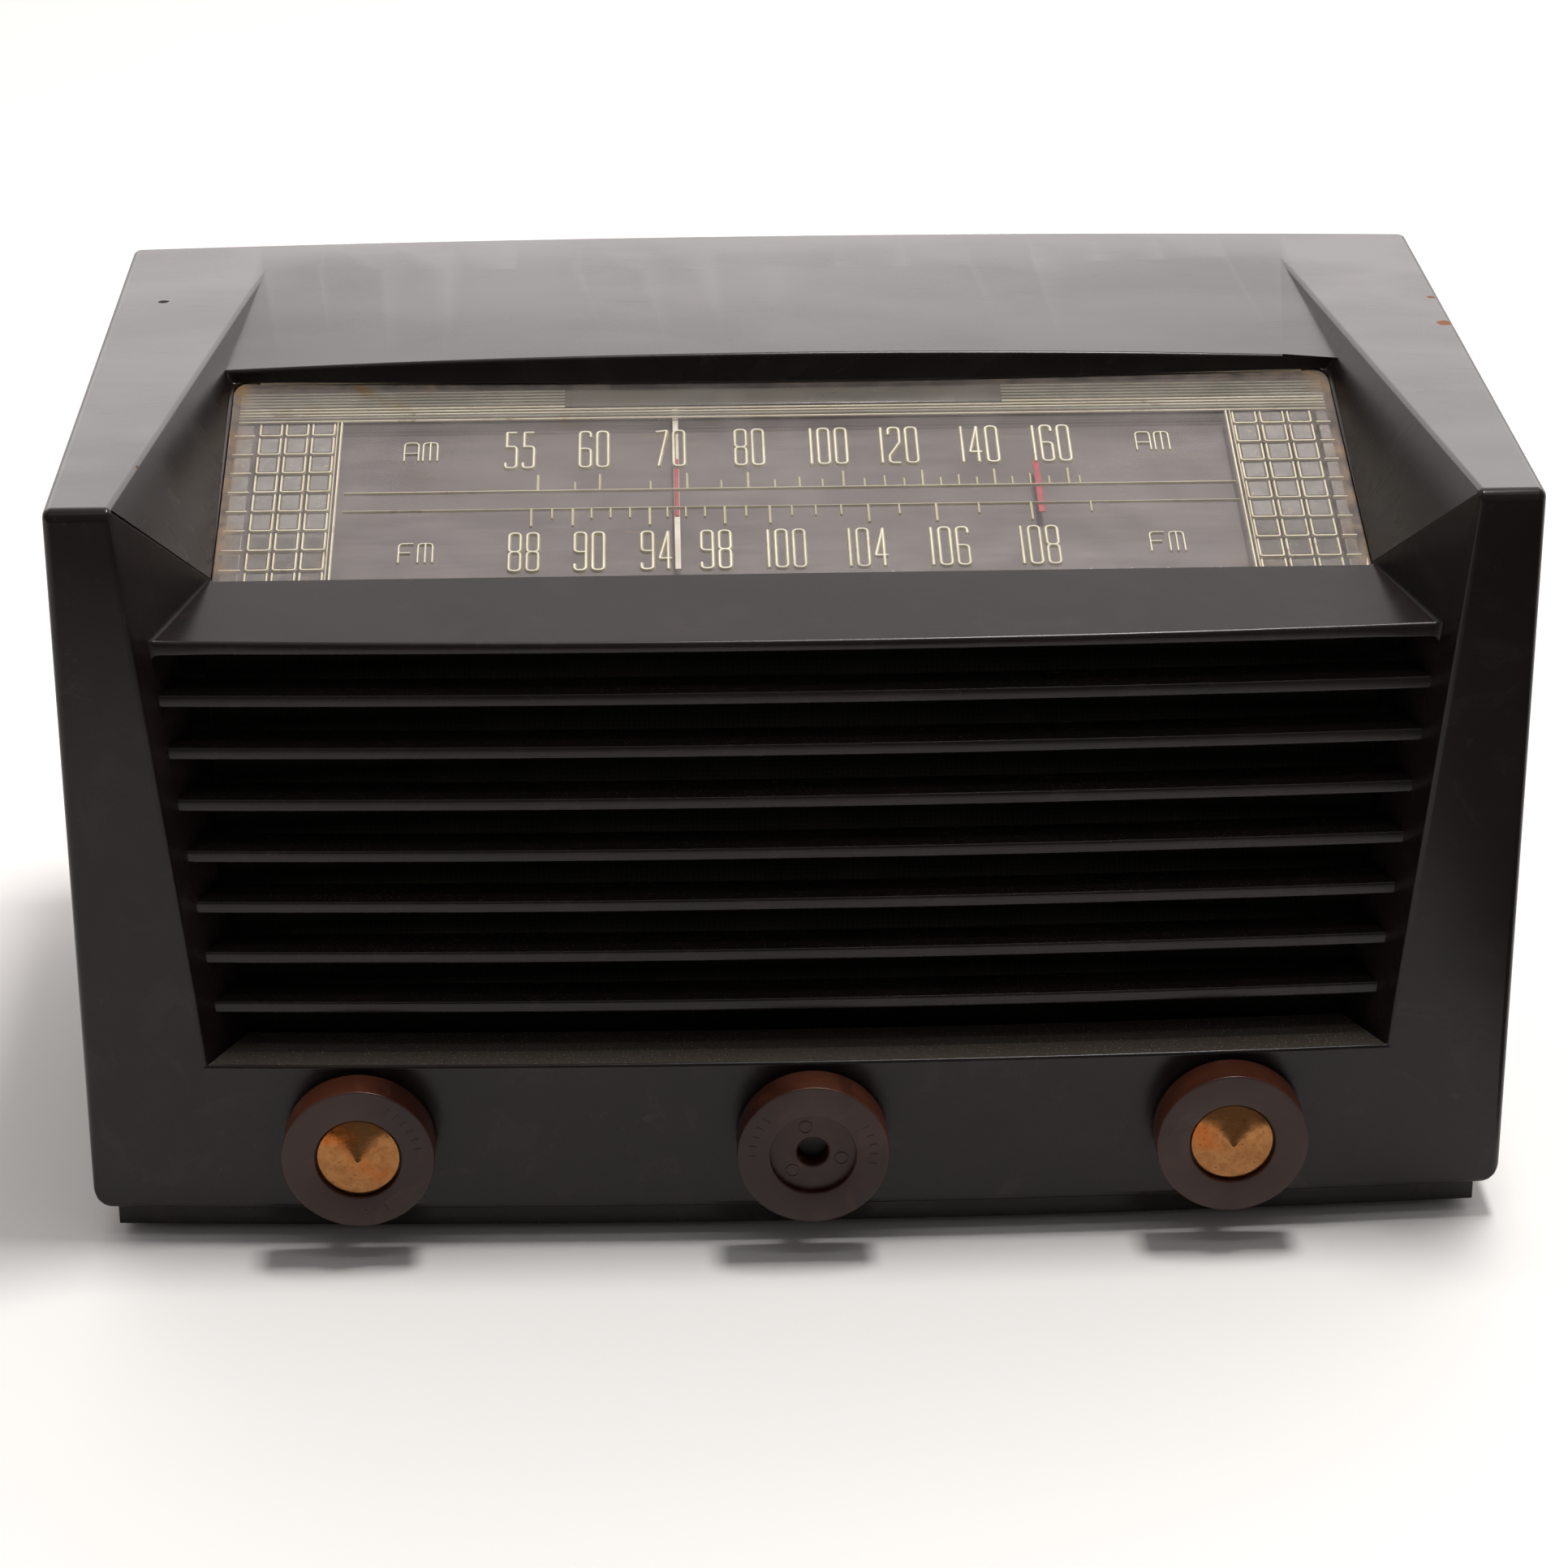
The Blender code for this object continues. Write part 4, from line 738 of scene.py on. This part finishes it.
def ribbon(bm, points, width, low, high):
    """A raised line along 2-D points, flat on top, with sloping sides. It may be a closed loop."""
    points = [Vector(point) for point in points]
    points = [point for index, point in enumerate(points)
              if index == 0 or (point - points[index - 1]).length > 1e-6]
    looped = (points[0] - points[-1]).length < 1e-6
    rows = []
    for index, point in enumerate(points):
        back = points[index - 1] if index else points[-2] if looped else None
        ahead = points[index + 1] if index + 1 < len(points) else points[1] if looped else None
        along = Vector((0, 0))
        if back is not None:
            along += (point - back).normalized()
        if ahead is not None:
            along += (ahead - point).normalized()
        along.normalize()
        across = Vector((-along.y, along.x))
        reach = width / 2
        if back is not None and ahead is not None:
            straight = (ahead - point).normalized().dot(along)
            reach /= max(0.4, straight)
        rows.append([bm.verts.new((*(point + across * reach * share), level))
                     for share, level in ((-1, low), (-0.55, high), (0.55, high), (1, low))])
    for near, far in zip(rows, rows[1:]):
        for one, two in ((0, 1), (1, 2), (2, 3), (3, 0)):
            bm.faces.new((near[one], near[two], far[two], far[one]))
    if not looped:
        bm.faces.new(rows[0])
        bm.faces.new(rows[-1])


# Each character is one or more lines, in a box from (0, 0) to (1, 1).
GLYPHS = {
    "0": [[(0, 0), (1, 0), (1, 1), (0, 1), (0, 0)]],
    "1": [[(0.5, 1), (0.5, 0)]],
    "2": [[(0, 0.8), (0, 1), (1, 1), (1, 0.58), (0, 0.2), (0, 0), (1, 0)]],
    "4": [[(0.76, 0), (0.76, 1)], [(0.76, 1), (0, 0.28)], [(0, 0.28), (1.1, 0.28)]],
    "5": [[(1, 1), (0.1, 1)], [(0.1, 1), (0.1, 0.58)],
          [(0.1, 0.6), (1, 0.6), (1, 0), (0, 0), (0, 0.14)]],
    "6": [[(1, 0.84), (1, 1), (0, 1), (0, 0), (1, 0), (1, 0.52), (0.02, 0.52)]],
    "7": [[(0, 0.97), (1, 1)], [(1, 1), (0.2, 0)]],
    "8": [[(0, 0.5), (1, 0.5), (1, 1), (0, 1), (0, 0.5)],
          [(0, 0), (1, 0), (1, 0.5), (0, 0.5), (0, 0)]],
    "9": [[(0, 0.16), (0, 0), (1, 0), (1, 1), (0, 1), (0, 0.48), (0.98, 0.48)]],
    "A": [[(0, 0), (0, 1), (1, 1), (1, 0)], [(0, 0.42), (1, 0.42)]],
    "F": [[(0, 0), (0, 1), (1, 1)], [(0, 0.52), (0.8, 0.52)]],
    "M": [[(0, 0), (0, 1), (1, 1), (1, 0)], [(0.5, 0), (0.5, 1)]],
}
# The two bands, in millimetres. Each number has its middle, its tall tick and how many short ticks
# follow. "lean" is how far the first gap's short ticks crowd towards its end, and how that changes
# from gap to gap. "after" is where one more short tick follows the last number.
AM_BAND = {"numbers": {"55": (-58.3, -54.2, 1), "60": (-42.1, -40.8, 1), "70": (-25.4, -21.9, 1),
                       "80": (-8.1, -8.7, 3), "100": (9.2, 12.0, 3), "120": (24.7, 29.2, 3),
                       "140": (42.4, 44.9, 3), "160": (58.2, 60.9, 0)},
           "middle": 46.4, "line": 30.7, "up": 1, "tall": 5.9, "short": 3.0, "central": 4.0,
           "after": 2.4, "lean": (0.40, -0.08)}
FM_BAND = {"numbers": {"88": (-56.9, -55.5, 1), "90": (-43.0, -46.6, 3), "94": (-28.8, -30.1, 3),
                       "98": (-16.1, -14.0, 1), "100": (-1.2, -4.3, 3), "104": (16.1, 16.9, 1),
                       "106": (33.6, 31.5, 1), "108": (52.8, 52.0, 0)},
           "middle": 7.95, "line": 23.8, "up": -1, "tall": 6.4, "short": 3.6, "central": 3.6,
           "after": 12.9, "lean": (0.0, -0.035)}
# Width, height, pitch and corner radius of the numbers and of the letters
DIGIT = (0.0024, 0.0137, 0.0038, 0.00115)
LETTER = (0.0031, 0.0069, 0.0041, 0.0011)
ONE_PITCH = 0.0018
# Millimetres, as in the bands: (text, middle, height on the dial)
BAND_NAMES = (("AM", -79.9, 46.2), ("AM", 80.5, 46.7), ("FM", -79.8, 8.05), ("FM", 80.0, 8.5))
SCALE_ENDS = (-96.0, 97.2)
GRID_PITCH, GRID_TOP, GRID_FIRST = 7.245, 58.3, 2.25
GRID_COLUMNS = {-1: (-121.5, -115.9, -110.2, -104.4, -98.6), 1: (98.8, 104.9, 111.0, 117.0, 121.3)}
GRID_BORDER, GRID_OUTER = {-1: 97.7, 1: 97.9}, 113.0


def written(text, middle, centre_t, form):
    """The lines of some characters, each a row of (x, t) points in metres."""
    width, height, pitch, radius = form
    pitches = [ONE_PITCH if character == "1" else pitch for character in text]
    lines = []
    for index, character in enumerate(text):
        before = sum(pitches[:index]) + pitches[index] / 2
        left = middle - sum(pitches) / 2 + before - width / 2
        for outline in GLYPHS[character]:
            points = [(left + x * width, centre_t + (t - 0.5) * height) for x, t in outline]
            lines.append(rounded(points, radius))
    return lines


def see_up(t, depth=-SCALE_Z):
    """Where a mark under the pane lies, in metres, for it to be seen at t millimetres."""
    return 0.001 * t + SIGHT * depth


def spot(x, t):
    """A point under the pane, in metres, that is seen at x and t millimetres."""
    return 0.001 * x, see_up(t)


def ticks(band):
    """(x, height) of every tick on a band's line, in the dial's millimetres."""
    found = []
    places = list(band["numbers"].values())
    first_lean, change = band["lean"]
    for index, (_, x, count) in enumerate(places):
        found.append((x, band["tall"]))
        for step in range(1, count + 1):
            share = step / (count + 1)
            share += (first_lean + change * index) * share * (1 - share)
            height = band["central"] if count == 3 and step == 2 else band["short"]
            found.append((x + (places[index + 1][1] - x) * share, height))
    return found + [(places[-1][1] + band["after"], band["short"])]


def on_dial(name, mesh, material, body="root", replaces=()):
    return piece(name, mesh, material, body, replaces, DIAL)


def marks():
    """The numbers and letters, each with a narrower bright line along its middle that is a painted
    highlight on the raised stroke, and the two scales.
    """
    low, high = MARK_Z
    bm, stroke_highlights = bmesh.new(), bmesh.new()
    lines = [(line, 0.0010, 0.00040) for band in (AM_BAND, FM_BAND)
             for text, (middle, _, _) in band["numbers"].items()
             for line in written(text, 0.001 * middle, see_up(band["middle"]), DIGIT)]
    lines += [(line, 0.0006, 0.00028) for text, middle, t in BAND_NAMES
              for line in written(text, 0.001 * middle, see_up(t), LETTER)]
    for line, width, highlight_width in lines:
        ribbon(bm, line, width, low, high)
        # A narrower, brighter ribbon along each stroke, a little higher: a painted highlight
        ribbon(stroke_highlights, line, highlight_width, low, high + 0.00005)
    for band, line_width in ((AM_BAND, 0.00055), (FM_BAND, 0.00035)):
        foot = band["line"]
        for x, tall in ticks(band):
            ribbon(bm, [spot(x, foot), spot(x, foot + band["up"] * tall)],
                   0.0008 if tall == band["tall"] else 0.0006, low, high)
        ribbon(bm, [spot(x, foot) for x in SCALE_ENDS], line_width, low, high)
    for name, lines_of, material in (("dial_marks", bm, "mark_plastic"),
                                     ("dial_mark_painted_highlights", stroke_highlights, "painted_highlight_white")):
        on_dial(name, mesh_of(lines_of), material).visible_shadow = False


def squares():
    """The squares at both ends of the dial, each a raised cream line round a pad, partly a painted
    highlight on the pad's raised edges, and their borders.
    In the outermost columns, only the squares' lower lines are raised."""
    low, high = MARK_Z
    lattice, pads = bmesh.new(), bmesh.new()
    for side, columns in GRID_COLUMNS.items():
        for x, width in ((GRID_BORDER[side], 0.0006), (GRID_BORDER[side] + 0.85, 0.0003)):
            ribbon(lattice, [spot(side * x, t) for t in (-1.5, GRID_TOP)], width, low, high)
        for t in [GRID_FIRST + GRID_PITCH * step for step in range(-1, 8)]:
            for left, right in zip(columns, columns[1:]):
                near, far = 0.001 * left + 0.0005, 0.001 * right - 0.0006
                foot, top = see_up(t) + 0.0004, see_up(min(t + GRID_PITCH, GRID_TOP)) - 0.0007
                if t < 0:
                    foot = PANE_T[0] + 0.0006
                if top - foot < 0.002:
                    continue
                # The line runs along the pad's foot and sides: the scale's cream, and a painted
                # highlight on those edges
                line = [(near, foot), (far, foot)]
                if min(abs(left), abs(right)) <= GRID_OUTER:
                    line = rounded([(near, top), *line, (far, top)], 0.0006, steps=3)
                ribbon(lattice, line, 0.0006, low, high)
                add_box(pads, (near + 0.0004, far - 0.0004), (foot + 0.0005, top), (low, high - 0.0001))
    eased(pads, pads.edges[:], 0.0002, segments=1)
    on_dial("dial_lattice", mesh_of(lattice), "cream_and_highlight_plastic")
    on_dial("dial_squares", mesh_of(pads), "pad_plastic")


def rib_band():
    """Ten ribs above the scales, four of them in a brighter cream as painted highlights on their
    crests, with a plain strip let into some of them, and a bright line along the pane's far edge, also
    a painted highlight.
    """
    ribs, rib_highlights = bmesh.new(), bmesh.new()
    rib_z = SCALE_Z - 0.0004
    for step in range(10):
        t = 59.5 + 1.2 * step
        spans = [(-RIB_X, RIB_X)]
        if STRIP_T[0] < t < STRIP_T[1]:
            spans = [(-RIB_X, -STRIP_X), (STRIP_X, RIB_X)]
        # Ribs 0, 2, 3 and 4 get the brighter cream: painted highlights on their crests
        target, radius = (rib_highlights, 0.00027) if step in (0, 2, 3, 4) else (ribs, 0.00036)
        for left, right in spans:
            add_rod(target, (left, see_up(t), rib_z), (right, see_up(t), rib_z), radius, 10)
    # A bright cream line along the pane's far edge: a painted highlight
    edge_t = PANE_T[1] - 0.0005
    ribbon(rib_highlights, [(-0.1165, edge_t), (0.1165, edge_t)], 0.0004, PANE_Z[1] - 0.0003,
           PANE_Z[1] + 0.0001)
    on_dial("dial_ribs", mesh_of(ribs), "rib_plastic")
    on_dial("dial_rib_painted_highlights", mesh_of(rib_highlights), "cream_and_highlight_plastic")
    strip = boxes(((-STRIP_X, STRIP_X), (see_up(STRIP_T[0]), see_up(STRIP_T[1])),
                   (SCALE_Z - 0.0006, SCALE_Z - 0.0001)), bevel=0.0002)
    on_dial("dial_plain_strip", strip, "strip_plastic")


def dial():
    """The pane and all that shows under it, with a red mark on the pointer and a fixed one."""
    pane = prism(window_outline(0.0), *PANE_Z, bevel=0.0003)
    on_dial("dial_pane", pane, "clear_plastic", replaces=["dial_glass"])
    marks()
    squares()
    rib_band()
    moving = boxes(((POINTER_X - 0.0005, POINTER_X + 0.0005),
                    (see_up(20.7, -NEEDLE_TOP_Z), see_up(42.3, -NEEDLE_TOP_Z)),
                    (NEEDLE_TOP_Z - 0.0001, NEEDLE_TOP_Z + 0.0003)), bevel=0.0001)
    on_dial("pointer_red_mark", moving, "red_paint", "pointer")
    fixed = boxes(((RED_MARK_X - 0.0007, RED_MARK_X + 0.0007), (see_up(21.0), see_up(41.0)),
                   (SCALE_Z - 0.0006, SCALE_Z - 0.0003)), bevel=0.0001)
    on_dial("dial_red_mark", fixed, "red_paint")


def rear_shield():
    """A painted plate behind the top of the dial, which keeps the light from the vents out."""
    span = ((-0.1215, 0.1215), (0.1110, 0.1117), (0.1345, 0.1510))
    piece("dial_rear_shield", boxes(span, bevel=0.0002), "taupe_paint")


# ---- knobs, cloth and back

def knob_matrix(name):
    """Puts a knob's drawing on the rear face of the CAD knob, in the cabinet's frame."""
    low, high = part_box(name + "_knob")
    centre = (low + high) / 2
    return BASE.inverted() @ Matrix.Translation((centre.x, high.y, centre.z)) @ TO_FRONT


def knob_shape(name):
    """A knob, bored through and sunk for an insert, with short raised ticks on its face."""
    seat, floor = INSERT_RADIUS + 0.0003, KNOB_DEEP - INSERT_DEPTH
    outline = ([(BORE_RADIUS, 0.0), (KNOB_RADIUS - KNOB_EASE, 0.0)]
               + arc((KNOB_RADIUS - KNOB_EASE, KNOB_EASE), KNOB_EASE, -60, 0, 2)
               + [(KNOB_RADIUS, KNOB_DEEP - KNOB_EASE)]
               + arc((KNOB_RADIUS - KNOB_EASE, KNOB_DEEP - KNOB_EASE), KNOB_EASE, 20, 90, 5)
               + [(seat + 0.0003, KNOB_DEEP), (seat + 0.0001, KNOB_DEEP - 0.0001),
                  (seat, KNOB_DEEP - 0.0003), (seat, floor), (BORE_RADIUS + 0.0003, floor),
                  (BORE_RADIUS, floor - 0.0003)])
    raised = bmesh.new()
    for angle in KNOB_TICKS[name]:
        verts = add_box(raised, (0.0122, 0.0138), (-0.0002, 0.0002),
                        (KNOB_DEEP - 0.0001, KNOB_DEEP + 0.00012))
        bmesh.ops.transform(raised, matrix=Matrix.Rotation(math.radians(angle), 4, "Z"), verts=verts)
    made = piece(name + "_knob_shape", joined(turned(outline, 96), mesh_of(raised)), "knob_face",
                 name, replaces=[name + "_knob"], matrix=knob_matrix(name), sharp=40)
    made.data.materials.append(MATERIALS["knob_side"])
    for polygon in made.data.polygons:
        if abs(polygon.normal.y) < 0.75:
            polygon.material_index = 1


def insert_shape(name):
    """A turned brass insert: a low cone with an eased foot and tip."""
    rim, floor, shoulder = INSERT_RADIUS, KNOB_DEEP - INSERT_DEPTH, KNOB_DEEP - 0.0008
    tip = KNOB_DEEP + INSERT_TIP
    slope = [(rim * (1 - share), shoulder + (tip - shoulder) * share)
             for share in (0.1, 0.3, 0.6, 0.85, 0.95)]
    outline = [(0.0, floor), (rim - 0.0002, floor), (rim, floor + 0.0002), (rim, shoulder - 0.0002),
               (rim - 0.0002, shoulder), *slope, (0.0002, tip - 0.00001), (0.0, tip)]
    piece(name + "_insert_shape", turned(outline, 96), "brass", name,
          replaces=[name + "_knob_insert"], matrix=knob_matrix(name), sharp=25)


def knobs():
    """Three knobs, two inserts, and three small raised rings inside the tuning knob."""
    for name in KNOB_X:
        knob_shape(name)
    for name in ("volume", "band"):
        insert_shape(name)
    floor = KNOB_DEEP - INSERT_DEPTH
    pips = bmesh.new()
    for angle in (105, 225, 345):
        ring = arc(around((0, 0), 0.0062, angle), 0.0014, 0, 360, 28)
        ribbon(pips, ring, 0.0003, floor - 0.0001, floor + 0.00018)
    piece("tuning_knob_pips", mesh_of(pips), "knob_face", "tuning",
          matrix=knob_matrix("tuning"))


def cloth():
    """The grille cloth, stretched over the baffle: one sheet with a little slack inside its edges."""
    low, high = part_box("grille_cloth")
    across, down, slack = 60, 24, 0.00022
    bm = bmesh.new()
    rows = []
    for row in range(down + 1):
        z = low.z + (high.z - low.z) * row / down
        line = []
        for column in range(across + 1):
            x = low.x + (high.x - low.x) * column / across
            inward = min(column / across, 1 - column / across, row / down, 1 - row / down)
            wave = min(1.0, 6 * inward + 0.05) * math.sin(38 * x + 2.0) * math.sin(61 * z + 0.7)
            line.append(bm.verts.new((x, (low.y + high.y) / 2 + slack * wave, z)))
        rows.append(line)
    for lower, upper in zip(rows, rows[1:]):
        for column in range(across):
            bm.faces.new((lower[column], lower[column + 1], upper[column + 1], upper[column]))
    obj = piece("grille_cloth_sheet", mesh_of(bm), "cloth", replaces=["grille_cloth"],
                matrix=BASE.inverted())


def baffle_strips():
    """Near-black board that closes the sides of the baffle, out to the flanks: a dark sheet for the
    painted shade at the ends of the louvre gaps.
    """
    low, high = (BASE.inverted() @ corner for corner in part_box("speaker_baffle"))
    deep, tall = (0.0176, 0.0200), (low.z, high.z - 0.0005)
    strips = boxes(*[(across, deep, tall) for across in ((-0.1415, -0.1232), (0.1232, 0.1415))],
                   bevel=0.0003)
    # Painted shade: black strips where the ends of the louvre gaps lie in shade
    piece("baffle_side_shade_strips", strips, "blackened_board")


def screw(matrix):
    """A dome-headed slotted screw, its head standing out along Z."""
    radius, high = SCREW_RADIUS, SCREW_HIGH
    head = turned([(0.0, -0.002), (radius * 0.6, -0.002), (radius * 0.6, 0.0), (radius, 0.0),
                   (radius, high * 0.3), (radius * 0.86, high * 0.72),
                   (radius * 0.5, high * 0.95), (0.0, high)], 32)
    slot = boxes(((-0.01, 0.01), (-0.00045, 0.00045), (high * 0.5, high * 2)))
    made = combined(head, [slot])
    made.transform(matrix)
    return made


def back():
    """A screw in each corner of the back cover, each turned its own way."""
    rear_y = (BASE.inverted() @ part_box("back_cover")[1]).y
    screws = []
    for x in (-SCREW_X, SCREW_X):
        for z in SCREW_ZS:
            turn = Matrix.Rotation(37000 * x + 900 * z, 4, "Z")
            screws.append(screw(Matrix.Translation((x, rear_y, z)) @ TO_BACK @ turn))
    piece("back_cover_screws", joined(*screws), "plated_steel")


# ---- camera, light and floor

def camera():
    pitch, yaw, roll = (math.radians(angle) for angle in CAMERA_ANGLES)
    forward = Vector((math.sin(yaw) * math.cos(pitch), math.cos(yaw) * math.cos(pitch),
                      -math.sin(pitch)))
    right = Vector((math.cos(yaw), -math.sin(yaw), 0.0))
    down = forward.cross(right)
    across = math.cos(roll) * right + math.sin(roll) * down
    up = math.sin(roll) * right - math.cos(roll) * down
    data = bpy.data.cameras.new("camera")
    data.lens, data.sensor_width, data.clip_start, data.clip_end = LENS, 36.0, 0.01, 60.0
    obj = shown("camera", data)
    turn = Matrix((across, up, -forward)).transposed().to_4x4()
    obj.matrix_world = Matrix.Translation(CAMERA_AT) @ turn
    bpy.context.scene.camera = obj


def softbox(name, stands, aim, size, power, tint=(1, 1, 1)):
    light = bpy.data.lights.new(name, "AREA")
    light.shape, light.size, light.size_y = "RECTANGLE", *size
    light.energy, light.color = power, tint
    obj = shown(name, light)
    obj.location = stands
    obj.rotation_euler = (Vector(aim) - Vector(stands)).to_track_quat("-Z", "Y").to_euler()


def studio():
    """Four soft lights in a room that is darker in front of the radio, a pale floor, and two dark
    cards, which only the radio's reflections show."""
    softbox("overhead", (0.22, 0.04, 1.55), (0, 0, 0), (0.34, 0.28), 18.0, (1.0, 0.98, 0.96))
    softbox("front_strip", (0.0, -0.62, 1.45), (0, 0, 0.1), (1.5, 0.12), 1.3)
    softbox("back_panel", (0.7, 2.4, 1.10), (0, 0, 0.15), (6.0, 1.2), 44.0, (1.0, 0.95, 0.945))
    softbox("high_back", (0.0, 1.75, 2.08), (0, 0, 0.15), (3.2, 0.9), 7.0, (1.0, 0.93, 0.91))

    world = bpy.data.worlds.new("studio")
    world.use_nodes = True
    tree = world.node_tree
    toward = axis_of(tree, add(tree, "TexCoord").outputs["Generated"], "Y")
    walls = blend(tree, spread(tree, toward, -0.35, 0.45), (0.165, 0.160, 0.157), (0.80, 0.765, 0.755))
    tree.links.new(walls, tree.nodes["Background"].inputs["Color"])
    bpy.context.scene.world = world
    bpy.context.scene.view_settings.view_transform = "Standard"

    floor_paint, tree, shader = start(Roughness=0.75, Specular_IOR_Level=0.25)
    tone = blend(tree, spread(tree, noise(tree, place(tree), 1.5, 3.0), 0.3, 0.7),
                 (0.86, 0.845, 0.83), (0.88, 0.868, 0.855))
    feed(tree, shader, Base_Color=tone)
    card_paint, tree, shader = start(Roughness=0.9)
    tone = blend(tree, noise(tree, place(tree), 3.0), (0.03, 0.028, 0.027), (0.05, 0.047, 0.045))
    feed(tree, shader, Base_Color=tone)
    thick = 0.002
    for name, paint, x, y, top in (
            ("floor", floor_paint, (-8.0, 8.0), (-8.0, 8.0), 0.0),
            ("side_card", card_paint, (0.185, 0.80), (-0.42, -0.09), thick),
            ("front_card", card_paint, (-4.0, 4.0), (-4.0, -0.42), thick)):
        mesh = boxes((x, y, (top - thick, top)))
        mesh.materials.append(paint)
        obj = shown(name, mesh)
        seen = paint is floor_paint
        obj.visible_camera = obj.visible_diffuse = obj.visible_shadow = seen


def paint_nodes():
    """Gives every CAD node the material of its slot, apart from the tuning shaft, which is darker:
    painted shade for the bore of the tuning knob.
    """
    for row in frame["record"]["subparts"]:
        node = frame["nodes"][row["node"]]
        node.data.materials.clear()
        # Dark steel on the tuning shaft paints in the shade inside the knob's bore
        paint = "dark_steel" if row["node"] == "tuning_shaft" else row["material_slot"]
        node.data.materials.append(MATERIALS[paint])


camera()
studio()
paint_nodes()
cabinet()
dial()
rear_shield()
knobs()
cloth()
baffle_strips()
back()
